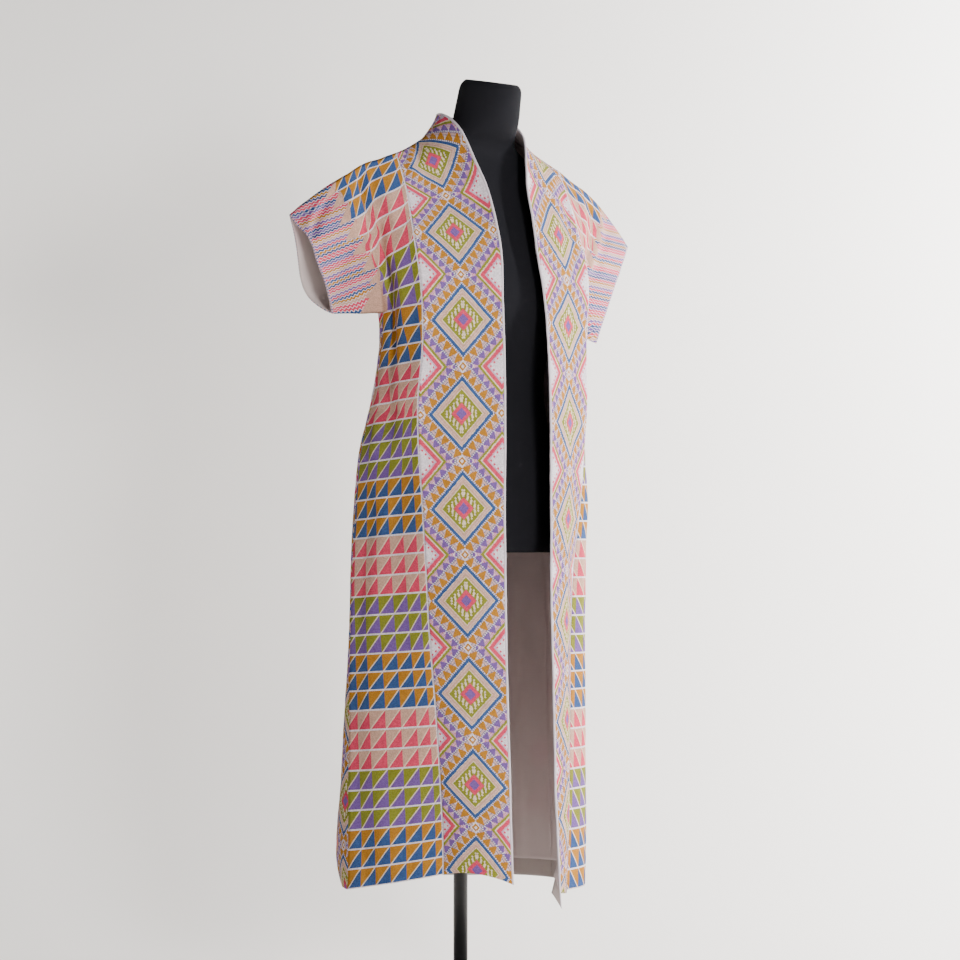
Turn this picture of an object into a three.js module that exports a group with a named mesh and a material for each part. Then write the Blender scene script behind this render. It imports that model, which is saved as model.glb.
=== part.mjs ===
// An open-front opera coat with cut-in-one sleeves, worn by a limbless dress form on a stand.
// Millimetres, +Z up. The floor is z = 0 and the pole stands on the Z axis.
// The coat's front faces -Y, and its wearer's left is +X.
import * as THREE from 'three';

// ---- driving dimensions ----
const CLOTH = 1.5;          // the patterned cloth's wall
const LINING = 1.0;         // the lining's wall
const SEAM = 0.3;           // what parts two pieces at a seam
const LAYERS = 0.45;        // what parts two layers of cloth
const HEM_Z = 212;          // the hem's level, before its dips
const TURN_UP = 28;         // height of the turned-up hem that shows inside
const UNDERARM_Z = 1090;    // where the side seam meets the sleeve
const BINDING = 3;          // how far the edge binding reaches past the cloth
const NECKBAND_WALL = CLOTH + LAYERS + LINING;
const MITRE_LIMIT = 2.4;    // the longest mitre at a sharp seam, in wall thicknesses

// Rows and columns of the cloth's grid.
const SKIRT_ROWS = 15;      // from the turned-up hem to the underarm
const YOKE_ROWS = 8;        // from the underarm to the shoulder
const BAND_COLS = [0, 0.1, 0.2, 0.45, 0.72, 1];
const SIDE_COLS = 5;
const SLEEVE_COLS = 4;
const NECK_COLS = 3;

// The body's section at each height. edge: front edge. seam: band to side panel. side: side seam.
// bend: the point that pulls the side panel out. back: centre back. A power of 2 is an ellipse.
const BODY = [
  { z: 212, edgeX: 44.5, edgeY: -187, seamX: 118, seamY: -109, bow: 9, backY: 155, power: 1.9 },
  { z: 300, edgeX: 44, edgeY: -182, seamX: 121, seamY: -110, bow: 9, backY: 156, power: 1.85 },
  { z: 400, edgeX: 43, edgeY: -177, seamX: 126, seamY: -109, bow: 8, backY: 149, power: 1.75 },
  { z: 500, edgeX: 43.5, edgeY: -173, seamX: 131, seamY: -105, bow: 7, backY: 142, power: 1.6 },
  { z: 600, edgeX: 44, edgeY: -170, seamX: 138, seamY: -101, bow: 7, backY: 135, power: 1.5 },
  { z: 700, edgeX: 44.5, edgeY: -168, seamX: 144, seamY: -100, bow: 6, backY: 129, power: 1.5 },
  { z: 800, edgeX: 44.5, edgeY: -167, seamX: 154, seamY: -103, bow: 5, backY: 121, power: 1.55 },
  { z: 880, edgeX: 44, edgeY: -167, seamX: 162, seamY: -105, bow: 3, backY: 106, power: 1.55 },
  { z: 945, edgeX: 43, edgeY: -166, seamX: 165, seamY: -108, bow: 2, backY: 88, power: 1.55 },
  { z: 1030, edgeX: 42, edgeY: -163, seamX: 160, seamY: -113, bow: 1, backY: 70, power: 1.6 },
  { z: 1090, edgeX: 41, edgeY: -159, seamX: 161, seamY: -114, bow: 0, backY: 64, power: 1.7 },
];

// The side panels differ: the left one stands out in a soft flute just behind its seam.
const SIDE = {
  right: [
    { z: 212, bendX: 176, bendY: -62, sideX: 200, sideY: 20 },
    { z: 400, bendX: 176, bendY: -60, sideX: 196, sideY: 25 },
    { z: 600, bendX: 178, bendY: -45, sideX: 187, sideY: 32 },
    { z: 800, bendX: 174, bendY: -35, sideX: 176, sideY: 33 },
    { z: 880, bendX: 178, bendY: -45, sideX: 177, sideY: 18 },
    { z: 945, bendX: 176, bendY: -55, sideX: 171, sideY: 2 },
    { z: 1030, bendX: 172, bendY: -62, sideX: 165, sideY: -17 },
    { z: 1090, bendX: 173, bendY: -62, sideX: 166, sideY: -22 },
  ],
  left: [
    { z: 212, bendX: 229, bendY: -94, sideX: 195, sideY: 12 },
    { z: 400, bendX: 226, bendY: -95, sideX: 190, sideY: 14 },
    { z: 600, bendX: 222, bendY: -94, sideX: 185, sideY: 14 },
    { z: 800, bendX: 214, bendY: -92, sideX: 178, sideY: 16 },
    { z: 880, bendX: 196, bendY: -80, sideX: 177, sideY: 10 },
    { z: 945, bendX: 182, bendY: -66, sideX: 172, sideY: -2 },
    { z: 1030, bendX: 174, bendY: -62, sideX: 166, sideY: -17 },
    { z: 1090, bendX: 173, bendY: -62, sideX: 166, sideY: -22 },
  ],
};

// How far each line of the cloth hangs above (+) or below (-) its level.
const HANG = {
  right: [
    { z: 212, edge: 25, middle: 41, seam: 38, side: 10 },
    { z: 370, edge: 9, middle: 15, seam: 18, side: 3 },
    { z: 600, edge: 10, middle: 10, seam: 10, side: 0 },
    { z: 940, edge: 15, middle: 13, seam: 10, side: 0 },
    { z: 1090, edge: 12, middle: 11, seam: 8, side: 0 },
  ],
  left: [
    { z: 212, edge: -16, middle: -8, seam: -3, side: 0 },
    { z: 370, edge: -9, middle: -5, seam: -2, side: 0 },
    { z: 600, edge: 0, middle: 0, seam: 0, side: 0 },
    { z: 940, edge: 0, middle: 0, seam: 0, side: 0 },
    { z: 1090, edge: 2, middle: 1, seam: 0, side: 0 },
  ],
};

// The left front's lower corner curls outward below this height: the band folds back on itself.
const CURL_TOP = 340;
const CURL = [
  { share: 0, x: 0, z: 0 }, { share: 0.1, x: -14, z: 9 }, { share: 0.2, x: -25, z: 17 },
  { share: 0.45, x: -13, z: 9 }, { share: 0.72, x: -4, z: 3 }, { share: 1, x: 0, z: 0 },
];

// Above the underarm: rise runs from 0 at the underarm to 1 at the shoulder line.
const FRONT_EDGE = [
  { rise: 0, x: 41, y: -159, z: 1090 },
  { rise: 0.17, x: 38, y: -154, z: 1138 },
  { rise: 0.33, x: 35, y: -145, z: 1185 },
  { rise: 0.5, x: 36, y: -132, z: 1234 },
  { rise: 0.65, x: 39, y: -115, z: 1283 },
  { rise: 0.78, x: 49, y: -98, z: 1326 },
  { rise: 0.89, x: 60, y: -80, z: 1370 },
  { rise: 0.95, x: 62, y: -55, z: 1392 },
  { rise: 1, x: 60, y: -30, z: 1402 },
];
const BAND_SEAM = [
  { rise: 0, x: 161, y: -114, z: 1090 },
  { rise: 0.15, x: 165, y: -113, z: 1133 },
  { rise: 0.35, x: 168, y: -105, z: 1184 },
  { rise: 0.55, x: 165, y: -90, z: 1232 },
  { rise: 0.75, x: 162, y: -74, z: 1277 },
  { rise: 1, x: 160, y: -47, z: 1331 },
];
// How far the band's upper rows sink between the standing neck edge and the shoulder.
const BAND_SINK = [
  { rise: 0, right: 2, left: 2 }, { rise: 0.4, right: -3, left: -1 },
  { rise: 0.7, right: -9, left: -4 }, { rise: 1, right: -19, left: -9 },
];
// The shoulder line, from the band's seam to the tip of the sleeve.
const SHOULDER = [
  { x: 160, y: -47, z: 1331 }, { x: 190, y: -44, z: 1319 }, { x: 216, y: -42, z: 1310 },
  { x: 250, y: -38, z: 1289 }, { x: 280, y: -31, z: 1269 }, { x: 312, y: -22, z: 1244 },
  { x: 333, y: -16, z: 1226 },
];
const LEFT_SHOULDER_FALL = 5;
const SLEEVE_START = 0.56;  // the share of the shoulder line that lies over the side panel
const CUFF_LOW = { x: 259, y: -22, z: 1074 };
const CUFF_DROOP = { right: 9, left: -9 };
const SLEEVE_FRONT = { right: 17, left: 0 };     // how far the sleeve's front stands out
const SLEEVE_FOLD = { right: 13, left: 0, at: 0.74, width: 0.13 };
const YOKE_FRONT = 20;
const YOKE_BACK = 20;
const CUFF_BACK = 340;      // the cuff's back stands out most a quarter of the way up
const CUFF_BACK_TOP = { right: 11, left: 20 };     // and its upper part this much
// The neck line of the back, and the top of its standing band, at the centre back.
const NECK_BACK = { baseY: 42, baseZ: 1358, topY: 12, topZ: 1404 };

// Soft upright folds of the back skirt: where across the half back, how deep, how far up.
const BACK_FOLDS = [
  { at: 0.62, wide: 0.6, deep: 9, top: 820 },
  { at: 1.45, wide: 0.6, deep: -7, top: 700 },
  { at: 2.2, wide: 0.6, deep: 8, top: 760 },
];

// The back's hem is drawn in beside the wearer's right side seam, below this height.
const TUCK = { half: 'right', from: 0.8, top: 330, deep: 13 };

// The dress form's rings.
const FORM = [
  { z: 729, half: 146, front: -114, back: 78, power: 2.2 },
  { z: 745, half: 149, front: -118, back: 81, power: 2.2 },
  { z: 800, half: 149, front: -120, back: 82, power: 2.2 },
  { z: 860, half: 144, front: -117, back: 72, power: 2.2 },
  { z: 920, half: 132, front: -112, back: 52, power: 2.2 },
  { z: 985, half: 120, front: -108, back: 38, power: 2.2 },
  { z: 1050, half: 128, front: -118, back: 42, power: 2.2 },
  { z: 1110, half: 136, front: -132, back: 44, power: 2.1 },
  { z: 1160, half: 138, front: -126, back: 42, power: 2 },
  { z: 1210, half: 138, front: -112, back: 38, power: 2 },
  { z: 1255, half: 136, front: -97, back: 28, power: 2 },
  { z: 1290, half: 132, front: -84, back: 12, power: 2 },
  { z: 1314.8, half: 124, front: -76, back: 0, power: 2 },
  { z: 1332.8, half: 108, front: -72, back: -6, power: 2 },
  { z: 1347.8, half: 82.5, front: -73, back: -8, power: 2 },
  { z: 1360.8, half: 64.5, front: -82, back: -8, power: 2 },
  { z: 1372, half: 56, front: -99, back: -8, power: 2 },
  { z: 1390, half: 52, front: -112, back: -11, power: 2 },
  { z: 1420, half: 49, front: -119, back: -20, power: 2 },
  { z: 1441, half: 47, front: -122, back: -28, power: 2 },
  { z: 1450, half: 42, front: -119, back: -36, power: 2 },
];
const FORM_SIDES = 32;
const FORM_TOP_TILT = 0.2;  // the neck's top falls toward the front

// The stand.
const POLE_RADIUS = 11;
const BASE_PROFILE = [[0, 0], [160, 0], [163, 3], [163, 8], [158, 12], [30, 16], [24, 19],
  [24, 58], [21, 61], [POLE_RADIUS + SEAM, 61], [POLE_RADIUS + SEAM, 20], [0, 20]];
const TURN_STEPS = 32;

const LOOKS = {
  band: { color: 0xb7a08f, roughness: 0.9, metalness: 0 },
  side: { color: 0x8d7a9c, roughness: 0.9, metalness: 0 },
  back: { color: 0xb09a94, roughness: 0.9, metalness: 0 },
  lining: { color: 0xcdc8c6, roughness: 0.7, metalness: 0 },
  binding: { color: 0xdcd6e2, roughness: 0.8, metalness: 0 },
  form: { color: 0x1b1b1d, roughness: 0.85, metalness: 0 },
  metal: { color: 0x101012, roughness: 0.4, metalness: 0.6 },
};

// ---- tables and curves ----
const vec = (x, y, z) => new THREE.Vector3(x, y, z);
const mix = (a, b, t) => a + (b - a) * t;
const hump = (t) => 4 * t * (1 - t);

function slopeAt(table, key, name, i) {
  const before = table[Math.max(i - 1, 0)];
  const after = table[Math.min(i + 1, table.length - 1)];
  return (after[name] - before[name]) / (after[key] - before[key]);
}

// A smooth curve through one column of a table, read at one value of the key column.
function read(table, key, name, at) {
  let i = 0;
  while (i < table.length - 2 && at > table[i + 1][key]) i += 1;
  const span = table[i + 1][key] - table[i][key];
  const t = THREE.MathUtils.clamp((at - table[i][key]) / span, 0, 1);
  const t2 = t * t;
  const t3 = t2 * t;
  return (2 * t3 - 3 * t2 + 1) * table[i][name]
    + (t3 - 2 * t2 + t) * span * slopeAt(table, key, name, i)
    + (3 * t2 - 2 * t3) * table[i + 1][name]
    + (t3 - t2) * span * slopeAt(table, key, name, i + 1);
}

const readPoint = (table, key, at) => vec(
  read(table, key, 'x', at), read(table, key, 'y', at), read(table, key, 'z', at));

// A point on a bow between two ends, pushed out by depth along a direction.
function bowed(start, end, share, out, depth) {
  return start.clone().lerp(end, share).addScaledVector(out, depth * hump(share));
}

function outwardOf(start, end, up) {
  return up.clone().cross(end.clone().sub(start)).normalize().negate();
}

// ---- the coat's surface, on the wearer's left (+X); the right half mirrors X ----
// A row is { level } below the underarm and { rise } above it.
const rowsOf = () => {
  const rows = [{ level: HEM_Z }];
  for (let i = 0; i <= SKIRT_ROWS; i += 1) {
    rows.push({ level: mix(HEM_Z + TURN_UP, UNDERARM_Z, i / SKIRT_ROWS) });
  }
  for (let i = 1; i <= YOKE_ROWS; i += 1) rows.push({ rise: i / YOKE_ROWS });
  return rows;
};
const ROWS = rowsOf();
const UNDERARM_ROW = SKIRT_ROWS + 1;

const hang = (half, name, level) => read(HANG[half], 'z', name, level);

function bandEdge(half, row) {
  if (row.rise === undefined) {
    return vec(read(BODY, 'z', 'edgeX', row.level), read(BODY, 'z', 'edgeY', row.level),
      row.level + hang(half, 'edge', row.level));
  }
  const fade = hang(half, 'edge', UNDERARM_Z) * (1 - row.rise) ** 2;
  return readPoint(FRONT_EDGE, 'rise', row.rise).add(vec(0, 0, fade));
}

function bandSeam(half, row) {
  if (row.rise === undefined) {
    return vec(read(BODY, 'z', 'seamX', row.level), read(BODY, 'z', 'seamY', row.level),
      row.level + hang(half, 'seam', row.level));
  }
  const fade = hang(half, 'seam', UNDERARM_Z) * (1 - row.rise) ** 2;
  return readPoint(BAND_SEAM, 'rise', row.rise).add(vec(0, 0, fade));
}

function bandPoint(half, row, share) {
  const end = bandSeam(half, row);
  const finished = bandEdge(half, row);
  const start = finished.clone().lerp(end, (BINDING + SEAM) / finished.distanceTo(end));
  if (row.rise === undefined) {
    const point = bowed(start, end, share, outwardOf(start, end, vec(0, 0, 1)),
      read(BODY, 'z', 'bow', row.level));
    const level = (start.z + end.z) / 2 - row.level;
    point.z += hump(share) * (hang(half, 'middle', row.level) - level);
    if (half === 'left' && row.level < CURL_TOP) {
      const rolled = ((CURL_TOP - row.level) / (CURL_TOP - HEM_Z)) ** 1.5;
      point.x += rolled * read(CURL, 'share', 'x', share);
      point.z += rolled * read(CURL, 'share', 'z', share);
    }
    return point;
  }
  const up = vec(0, mix(0.3, 0.9, row.rise), 1);
  const early = share ** 0.62;
  return bowed(start, end, share, outwardOf(start, end, up), 0).addScaledVector(
    outwardOf(start, end, up), read(BAND_SINK, 'rise', half, row.rise) * hump(early));
}

function sideSeam(half, level) {
  return vec(read(SIDE[half], 'z', 'sideX', level), read(SIDE[half], 'z', 'sideY', level),
    level + hang(half, 'side', level));
}

function sideSkirtPoint(half, level, share) {
  const start = bandSeam(half, { level });
  const end = sideSeam(half, level);
  const bend = vec(read(SIDE[half], 'z', 'bendX', level), read(SIDE[half], 'z', 'bendY', level),
    (start.z + end.z) / 2);
  const near = (1 - share) ** 2;
  const far = share * share;
  return start.multiplyScalar(near).addScaledVector(bend, 1 - near - far).addScaledVector(end, far);
}

function shoulderPoint(half, share) {
  const first = SHOULDER[0].x;
  const last = SHOULDER[SHOULDER.length - 1].x;
  const x = mix(first, last, share);
  const fall = half === 'left' ? LEFT_SHOULDER_FALL * hump(share) : 0;
  return vec(x, read(SHOULDER, 'x', 'y', x), read(SHOULDER, 'x', 'z', x) - fall);
}

function cuffLow(half) {
  return vec(CUFF_LOW.x, CUFF_LOW.y, CUFF_LOW.z + CUFF_DROOP[half]);
}

// The share runs from 0 at the band's seam over 1 at the side seam to 2 at the cuff.
function yokeFrontPoint(half, rise, across) {
  const onSleeve = Math.max(across - 1, 0);
  const low = across <= 1 ? sideSkirtPoint(half, UNDERARM_Z, across)
    : sideSeam(half, UNDERARM_Z).lerp(cuffLow(half), onSleeve);
  const shoulder = across <= 1 ? across * SLEEVE_START : mix(SLEEVE_START, 1, onSleeve);
  const high = shoulderPoint(half, shoulder);
  const point = low.clone().lerp(high, rise);
  const seam = bandSeam(half, { rise });
  const straight = sideSkirtPoint(half, UNDERARM_Z, 0).lerp(shoulderPoint(half, 0), rise);
  const hold = Math.max(1 - across, 0);
  point.addScaledVector(seam.sub(straight), hold * hold);
  const depth = across <= 1 ? mix(0, YOKE_FRONT, across * (2 - across))
    : mix(YOKE_FRONT, SLEEVE_FRONT[half], onSleeve);
  const away = (rise - SLEEVE_FOLD.at) / SLEEVE_FOLD.width;
  const fold = SLEEVE_FOLD[half] * Math.exp(-away * away) * Math.max(across - 0.7, 0) / 1.3;
  point.y -= depth * hump(rise) + fold * (1 - rise ** 6);
  return point;
}

function sidePoint(half, row, across) {
  if (row.rise === undefined) return sideSkirtPoint(half, row.level, across);
  return yokeFrontPoint(half, row.rise, across);
}

// Across the back: 0 at the centre, 1 under the neck's corner, 2 at the band's seam,
// 3 at the side seam and 4 at the cuff.
function backSkirtPoint(half, level, across) {
  const side = sideSeam(half, level);
  const turn = (1 - across / 3) * Math.PI / 2;
  const power = 2 / read(BODY, 'z', 'power', level);
  const deep = read(BODY, 'z', 'backY', level) - side.y;
  const out = Math.abs(Math.cos(turn)) ** power;
  const point = vec(side.x * (across === 0 ? 0 : out), side.y + deep * Math.sin(turn) ** power,
    mix(level, side.z, across / 3));
  for (const fold of BACK_FOLDS) {
    const off = Math.min(Math.abs(across - fold.at) / fold.wide, 1);
    const fade = THREE.MathUtils.clamp((fold.top - level) / (fold.top - HEM_Z), 0, 1);
    point.y += fold.deep * fade * (1 - off * off) ** 2;
  }
  if (half === TUCK.half && across > TUCK.from && level < TUCK.top) {
    const near = (TUCK.top - level) / (TUCK.top - HEM_Z);
    const drawn = TUCK.deep * hump((across - TUCK.from) / (3 - TUCK.from)) * near ** 4;
    point.x -= drawn * 0.8;
    point.y -= drawn * 0.6;
  }
  return point;
}

const TOP_ROW = { rise: 1 };
const COLLAR_SHARE = 0.2;   // the share of the band's top row that stands as the neckband

function neckBasePoint(half, across) {
  const corner = bandPoint(half, TOP_ROW, COLLAR_SHARE);
  const turn = across * Math.PI / 2;
  return vec(corner.x * Math.sin(turn), mix(corner.y, NECK_BACK.baseY, Math.cos(turn)),
    mix(corner.z, NECK_BACK.baseZ, Math.cos(turn)));
}

function backTopPoint(half, across) {
  if (across <= 1) return neckBasePoint(half, across);
  if (across <= 2) return bandPoint(half, TOP_ROW, mix(COLLAR_SHARE, 1, across - 1));
  if (across <= 3) return shoulderPoint(half, (across - 2) * SLEEVE_START);
  return shoulderPoint(half, mix(SLEEVE_START, 1, across - 3));
}

function backPoint(half, row, across) {
  if (row.rise === undefined) return backSkirtPoint(half, row.level, across);
  const onSleeve = Math.max(across - 3, 0);
  const low = across <= 3 ? backSkirtPoint(half, UNDERARM_Z, across)
    : sideSeam(half, UNDERARM_Z).lerp(cuffLow(half), onSleeve);
  const point = low.lerp(backTopPoint(half, across), row.rise);
  const cuff = CUFF_BACK * row.rise * (1 - row.rise) ** 3 + CUFF_BACK_TOP[half] * hump(row.rise);
  point.y += mix(YOKE_BACK * hump(row.rise), cuff, onSleeve * onSleeve);
  return point;
}

// ---- grids ----
// A grid is { name, wall, rows: [[Vector3 or null]] }; null stands where the piece has no cloth.
const evenly = (from, to, parts) => Array.from({ length: parts + 1 },
  (_, i) => mix(from, to, i / parts));
const mirrored = (half, point) => (half === 'right' ? point.setX(-point.x) : point);

const BODY_COLS = evenly(0, 1, SIDE_COLS);
const SLEEVE_SHARES = evenly(1, 2, SLEEVE_COLS).slice(1);
const BACK_COLS = [
  ...evenly(0, 1, NECK_COLS),
  ...BAND_COLS.slice(3).map((share) => 1 + (share - COLLAR_SHARE) / (1 - COLLAR_SHARE)),
  ...evenly(2, 3, SIDE_COLS).slice(1),
  ...evenly(3, 4, SLEEVE_COLS).slice(1),
];

function bandGrid(half) {
  return ROWS.map((row) => BAND_COLS.map((share) => mirrored(half, bandPoint(half, row, share))));
}

function sideGrid(half) {
  return ROWS.map((row, i) => [...BODY_COLS, ...SLEEVE_SHARES].map((across) => (
    across > 1 && i < UNDERARM_ROW ? null : mirrored(half, sidePoint(half,
      i === UNDERARM_ROW && across > 1 ? { rise: 0 } : row, across)))));
}

function frontGrid(half) {
  const side = sideGrid(half);
  return bandGrid(half).map((row, i) => [...row, ...side[i].slice(1)]);
}

function backGrid() {
  return ROWS.map((row, i) => {
    const at = (half, across) => {
      if (across > 3 && i < UNDERARM_ROW) return null;
      return mirrored(half, backPoint(half,
        i === UNDERARM_ROW && across > 3 ? { rise: 0 } : row, across));
    };
    const right = [...BACK_COLS].reverse().slice(0, -1).map((across) => at('right', across));
    return [...right, ...BACK_COLS.map((across) => at('left', across))];
  });
}

// The standing neckband: from the right shoulder round the back of the neck to the left one.
function collarGrid() {
  const shares = BAND_COLS.filter((share) => share <= COLLAR_SHARE);
  const spans = [...BACK_COLS.slice(0, NECK_COLS + 1)];
  const ring = (half, across) => shares.map((share) => {
    const front = bandPoint(half, TOP_ROW, share);
    const turn = across * Math.PI / 2;
    const down = share / COLLAR_SHARE;
    const y = mix(NECK_BACK.topY, NECK_BACK.baseY, down);
    const z = mix(NECK_BACK.topZ, NECK_BACK.baseZ, down);
    return mirrored(half, vec(front.x * Math.sin(turn), mix(front.y, y, Math.cos(turn)),
      mix(front.z, z, Math.cos(turn))));
  });
  const right = [...spans].reverse().slice(0, -1).map((across) => ring('right', across));
  return [...right, ...spans.map((across) => ring('left', across))];
}

// ---- from grids to walls ----
const keyOf = (point) => [point.x, point.y, point.z].map((n) => Math.round(n * 50)).join(',');

function cellsOf(rows) {
  const cells = [];
  for (let i = 0; i + 1 < rows.length; i += 1) {
    for (let j = 0; j + 1 < rows[i].length; j += 1) {
      const corners = [[i, j], [i, j + 1], [i + 1, j + 1], [i + 1, j]];
      if (corners.every(([r, c]) => rows[r][c])) cells.push(corners);
    }
  }
  return cells;
}

// For each grid point: the outward normal and the direction into the cloth.
function frameOf(rows, flip) {
  const frame = rows.map((row) => row.map((point) => (
    point ? { normal: vec(0, 0, 0), inward: vec(0, 0, 0), corners: 0 } : null)));
  for (const corners of cellsOf(rows)) {
    const [a, b, c, d] = corners.map(([i, j]) => rows[i][j]);
    const normal = c.clone().sub(a).cross(d.clone().sub(b)).multiplyScalar(flip ? -1 : 1);
    normal.normalize();
    const middle = a.clone().add(b).add(c).add(d).multiplyScalar(0.25);
    for (const [i, j] of corners) {
      frame[i][j].normal.add(normal);
      frame[i][j].inward.add(middle.clone().sub(rows[i][j]).normalize());
      frame[i][j].corners += 1;
    }
  }
  for (const spot of frame.flat().filter((one) => one && one.corners)) {
    spot.normal.normalize();
    spot.inward.addScaledVector(spot.normal, -spot.inward.dot(spot.normal)).normalize();
  }
  return frame;
}

// What the pieces of one layer share at each seam point.
function meetings(grids) {
  const found = new Map();
  for (const grid of grids) {
    grid.frame = frameOf(grid.rows, grid.flip);
    grid.rows.forEach((row, i) => row.forEach((point, j) => {
      if (!point || !grid.frame[i][j].corners) return;
      const key = keyOf(point);
      if (!found.has(key)) found.set(key, []);
      found.get(key).push({ grid, ...grid.frame[i][j] });
    }));
  }
  return found;
}

// The direction through the cloth at a point, long enough for a wall of 1 to meet its
// neighbours in a mitre. Every layer uses the outer skin's own mitres, so layers stay parallel.
function mitreOf(skin, point) {
  const met = skin.get(keyOf(point));
  const sum = met.reduce((total, one) => total.add(one.normal), vec(0, 0, 0)).normalize();
  const lean = met.reduce((total, one) => total + one.normal.dot(sum), 0) / met.length;
  return sum.multiplyScalar(Math.min(1 / Math.max(lean, 0.01), MITRE_LIMIT));
}

// How far a piece steps back from the seams that it shares with others of its layer.
function stepOf(grid, spot, met) {
  const step = vec(0, 0, 0);
  for (const other of met.filter((one) => one.grid !== grid)) {
    const apart = spot.inward.clone().sub(other.inward);
    if (apart.length() < 0.2) apart.copy(spot.inward);
    step.addScaledVector(apart.normalize(), SEAM / 2);
  }
  return step;
}

// A closed wall over a grid, from depth under its points to depth + wall.
function wallOf(grid, skin, layer, depth, wall) {
  const outer = [];
  const inner = [];
  const index = grid.rows.map((row, i) => row.map((point, j) => {
    const spot = grid.frame[i][j];
    if (!point || !spot.corners) return -1;
    const mitre = mitreOf(skin, point);
    const from = point.clone().add(stepOf(grid, spot, layer.get(keyOf(point))));
    outer.push(from.clone().addScaledVector(mitre, -depth));
    inner.push(from.clone().addScaledVector(mitre, -depth - wall));
    return outer.length - 1;
  }));
  const count = outer.length;
  const faces = [];
  const sides = new Map();
  for (const corners of cellsOf(grid.rows)) {
    const [a, b, c, d] = corners.map(([i, j]) => index[i][j]);
    const [p, q, r, s] = corners.map(([i, j]) => grid.rows[i][j]);
    const halves = p.distanceTo(r) <= q.distanceTo(s) + 0.01
      ? [[a, b, c], [a, c, d]] : [[a, b, d], [b, c, d]];
    for (const half of halves) {
      const [u, v, w] = grid.flip ? half.reverse() : half;
      faces.push([u, v, w], [w + count, v + count, u + count]);
    }
    const ring = grid.flip ? [d, c, b, a] : [a, b, c, d];
    ring.forEach((from, k) => sides.set(`${from},${ring[(k + 1) % 4]}`, [from, ring[(k + 1) % 4]]));
  }
  const places = grid.rows.flat().filter((point, i) => index.flat()[i] >= 0).map(keyOf);
  for (const [from, to] of sides.values()) {
    if (sides.has(`${to},${from}`)) continue;
    if (places[from] < places[to]) faces.push([to, from, from + count], [to, from + count, to + count]);
    else faces.push([to, from, to + count], [from, from + count, to + count]);
  }
  return solidOf([...outer, ...inner], faces);
}

function solidOf(points, faces) {
  const geometry = new THREE.BufferGeometry();
  geometry.setAttribute('position', new THREE.Float32BufferAttribute(
    points.flatMap((point) => [point.x, point.y, point.z]), 3));
  geometry.setIndex(faces.flat());
  geometry.computeVertexNormals();
  return geometry;
}

// ---- the edge binding: a flat strip round both front edges and the neck ----
function bindingOf(skin, bandRight, collar, bandLeft) {
  const path = [];
  const take = (grid, i) => {
    const inward = grid.rows[i][1].clone().sub(grid.rows[i][0]).normalize();
    path.push({ point: grid.rows[i][0], through: mitreOf(skin, grid.rows[i][0]), inward });
  };
  bandRight.rows.forEach((_, i) => take(bandRight, i));
  for (let i = 1; i + 1 < collar.rows.length; i += 1) take(collar, i);
  [...bandLeft.rows.keys()].reverse().forEach((i) => take(bandLeft, i));
  const points = path.flatMap(({ point, through, inward }) => {
    const near = point.clone().addScaledVector(inward, -SEAM);
    const far = point.clone().addScaledVector(inward, -SEAM - BINDING);
    return [far, near, near.clone().addScaledVector(through, -NECKBAND_WALL),
      far.clone().addScaledVector(through, -NECKBAND_WALL)];
  });
  const faces = [[0, 1, 2], [0, 2, 3]];
  const last = points.length - 4;
  for (let at = 0; at < last; at += 4) {
    for (let k = 0; k < 4; k += 1) {
      const next = (k + 1) % 4;
      faces.push([at + k, at + 4 + k, at + 4 + next], [at + k, at + 4 + next, at + next]);
    }
  }
  faces.push([last, last + 2, last + 1], [last, last + 3, last + 2]);
  return solidOf(points, faces);
}

// ---- the dress form: smooth rings closed by a flat bottom and a flat, tilted top ----
function formOf() {
  const points = [];
  for (const ring of FORM) {
    const middle = (ring.front + ring.back) / 2;
    const deep = (ring.back - ring.front) / 2;
    const neck = THREE.MathUtils.clamp((ring.z - 1390) / 60, 0, 1);
    for (let i = 0; i < FORM_SIDES; i += 1) {
      const turn = (i / FORM_SIDES) * Math.PI * 2;
      const x = ring.half * Math.sign(Math.cos(turn)) * Math.abs(Math.cos(turn)) ** (2 / ring.power);
      const y = deep * Math.sign(Math.sin(turn)) * Math.abs(Math.sin(turn)) ** (2 / ring.power);
      points.push(vec(x, middle + y, ring.z + y * FORM_TOP_TILT * neck));
    }
  }
  const faces = [];
  for (let i = 0; i + 1 < FORM.length; i += 1) {
    for (let j = 0; j < FORM_SIDES; j += 1) {
      const a = i * FORM_SIDES + j;
      const b = i * FORM_SIDES + ((j + 1) % FORM_SIDES);
      faces.push([a, b, b + FORM_SIDES], [a, b + FORM_SIDES, a + FORM_SIDES]);
    }
  }
  const top = (FORM.length - 1) * FORM_SIDES;
  for (let j = 1; j + 1 < FORM_SIDES; j += 1) {
    faces.push([0, j + 1, j], [top, top + j, top + j + 1]);
  }
  return solidOf(points, faces);
}

const poleOf = (from, to) => new THREE.CylinderGeometry(POLE_RADIUS, POLE_RADIUS, to - from, 24)
  .rotateX(Math.PI / 2).translate(0, 0, (from + to) / 2);

const baseOf = () => new THREE.LatheGeometry(
  BASE_PROFILE.map(([radius, z]) => new THREE.Vector2(radius, z)), TURN_STEPS).rotateX(Math.PI / 2);

// ---- the object ----
const coat = new THREE.Group();
const add = (name, geometry, look) => {
  const mesh = new THREE.Mesh(geometry, new THREE.MeshStandardMaterial(LOOKS[look]));
  mesh.name = name;
  coat.add(mesh);
};

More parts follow.
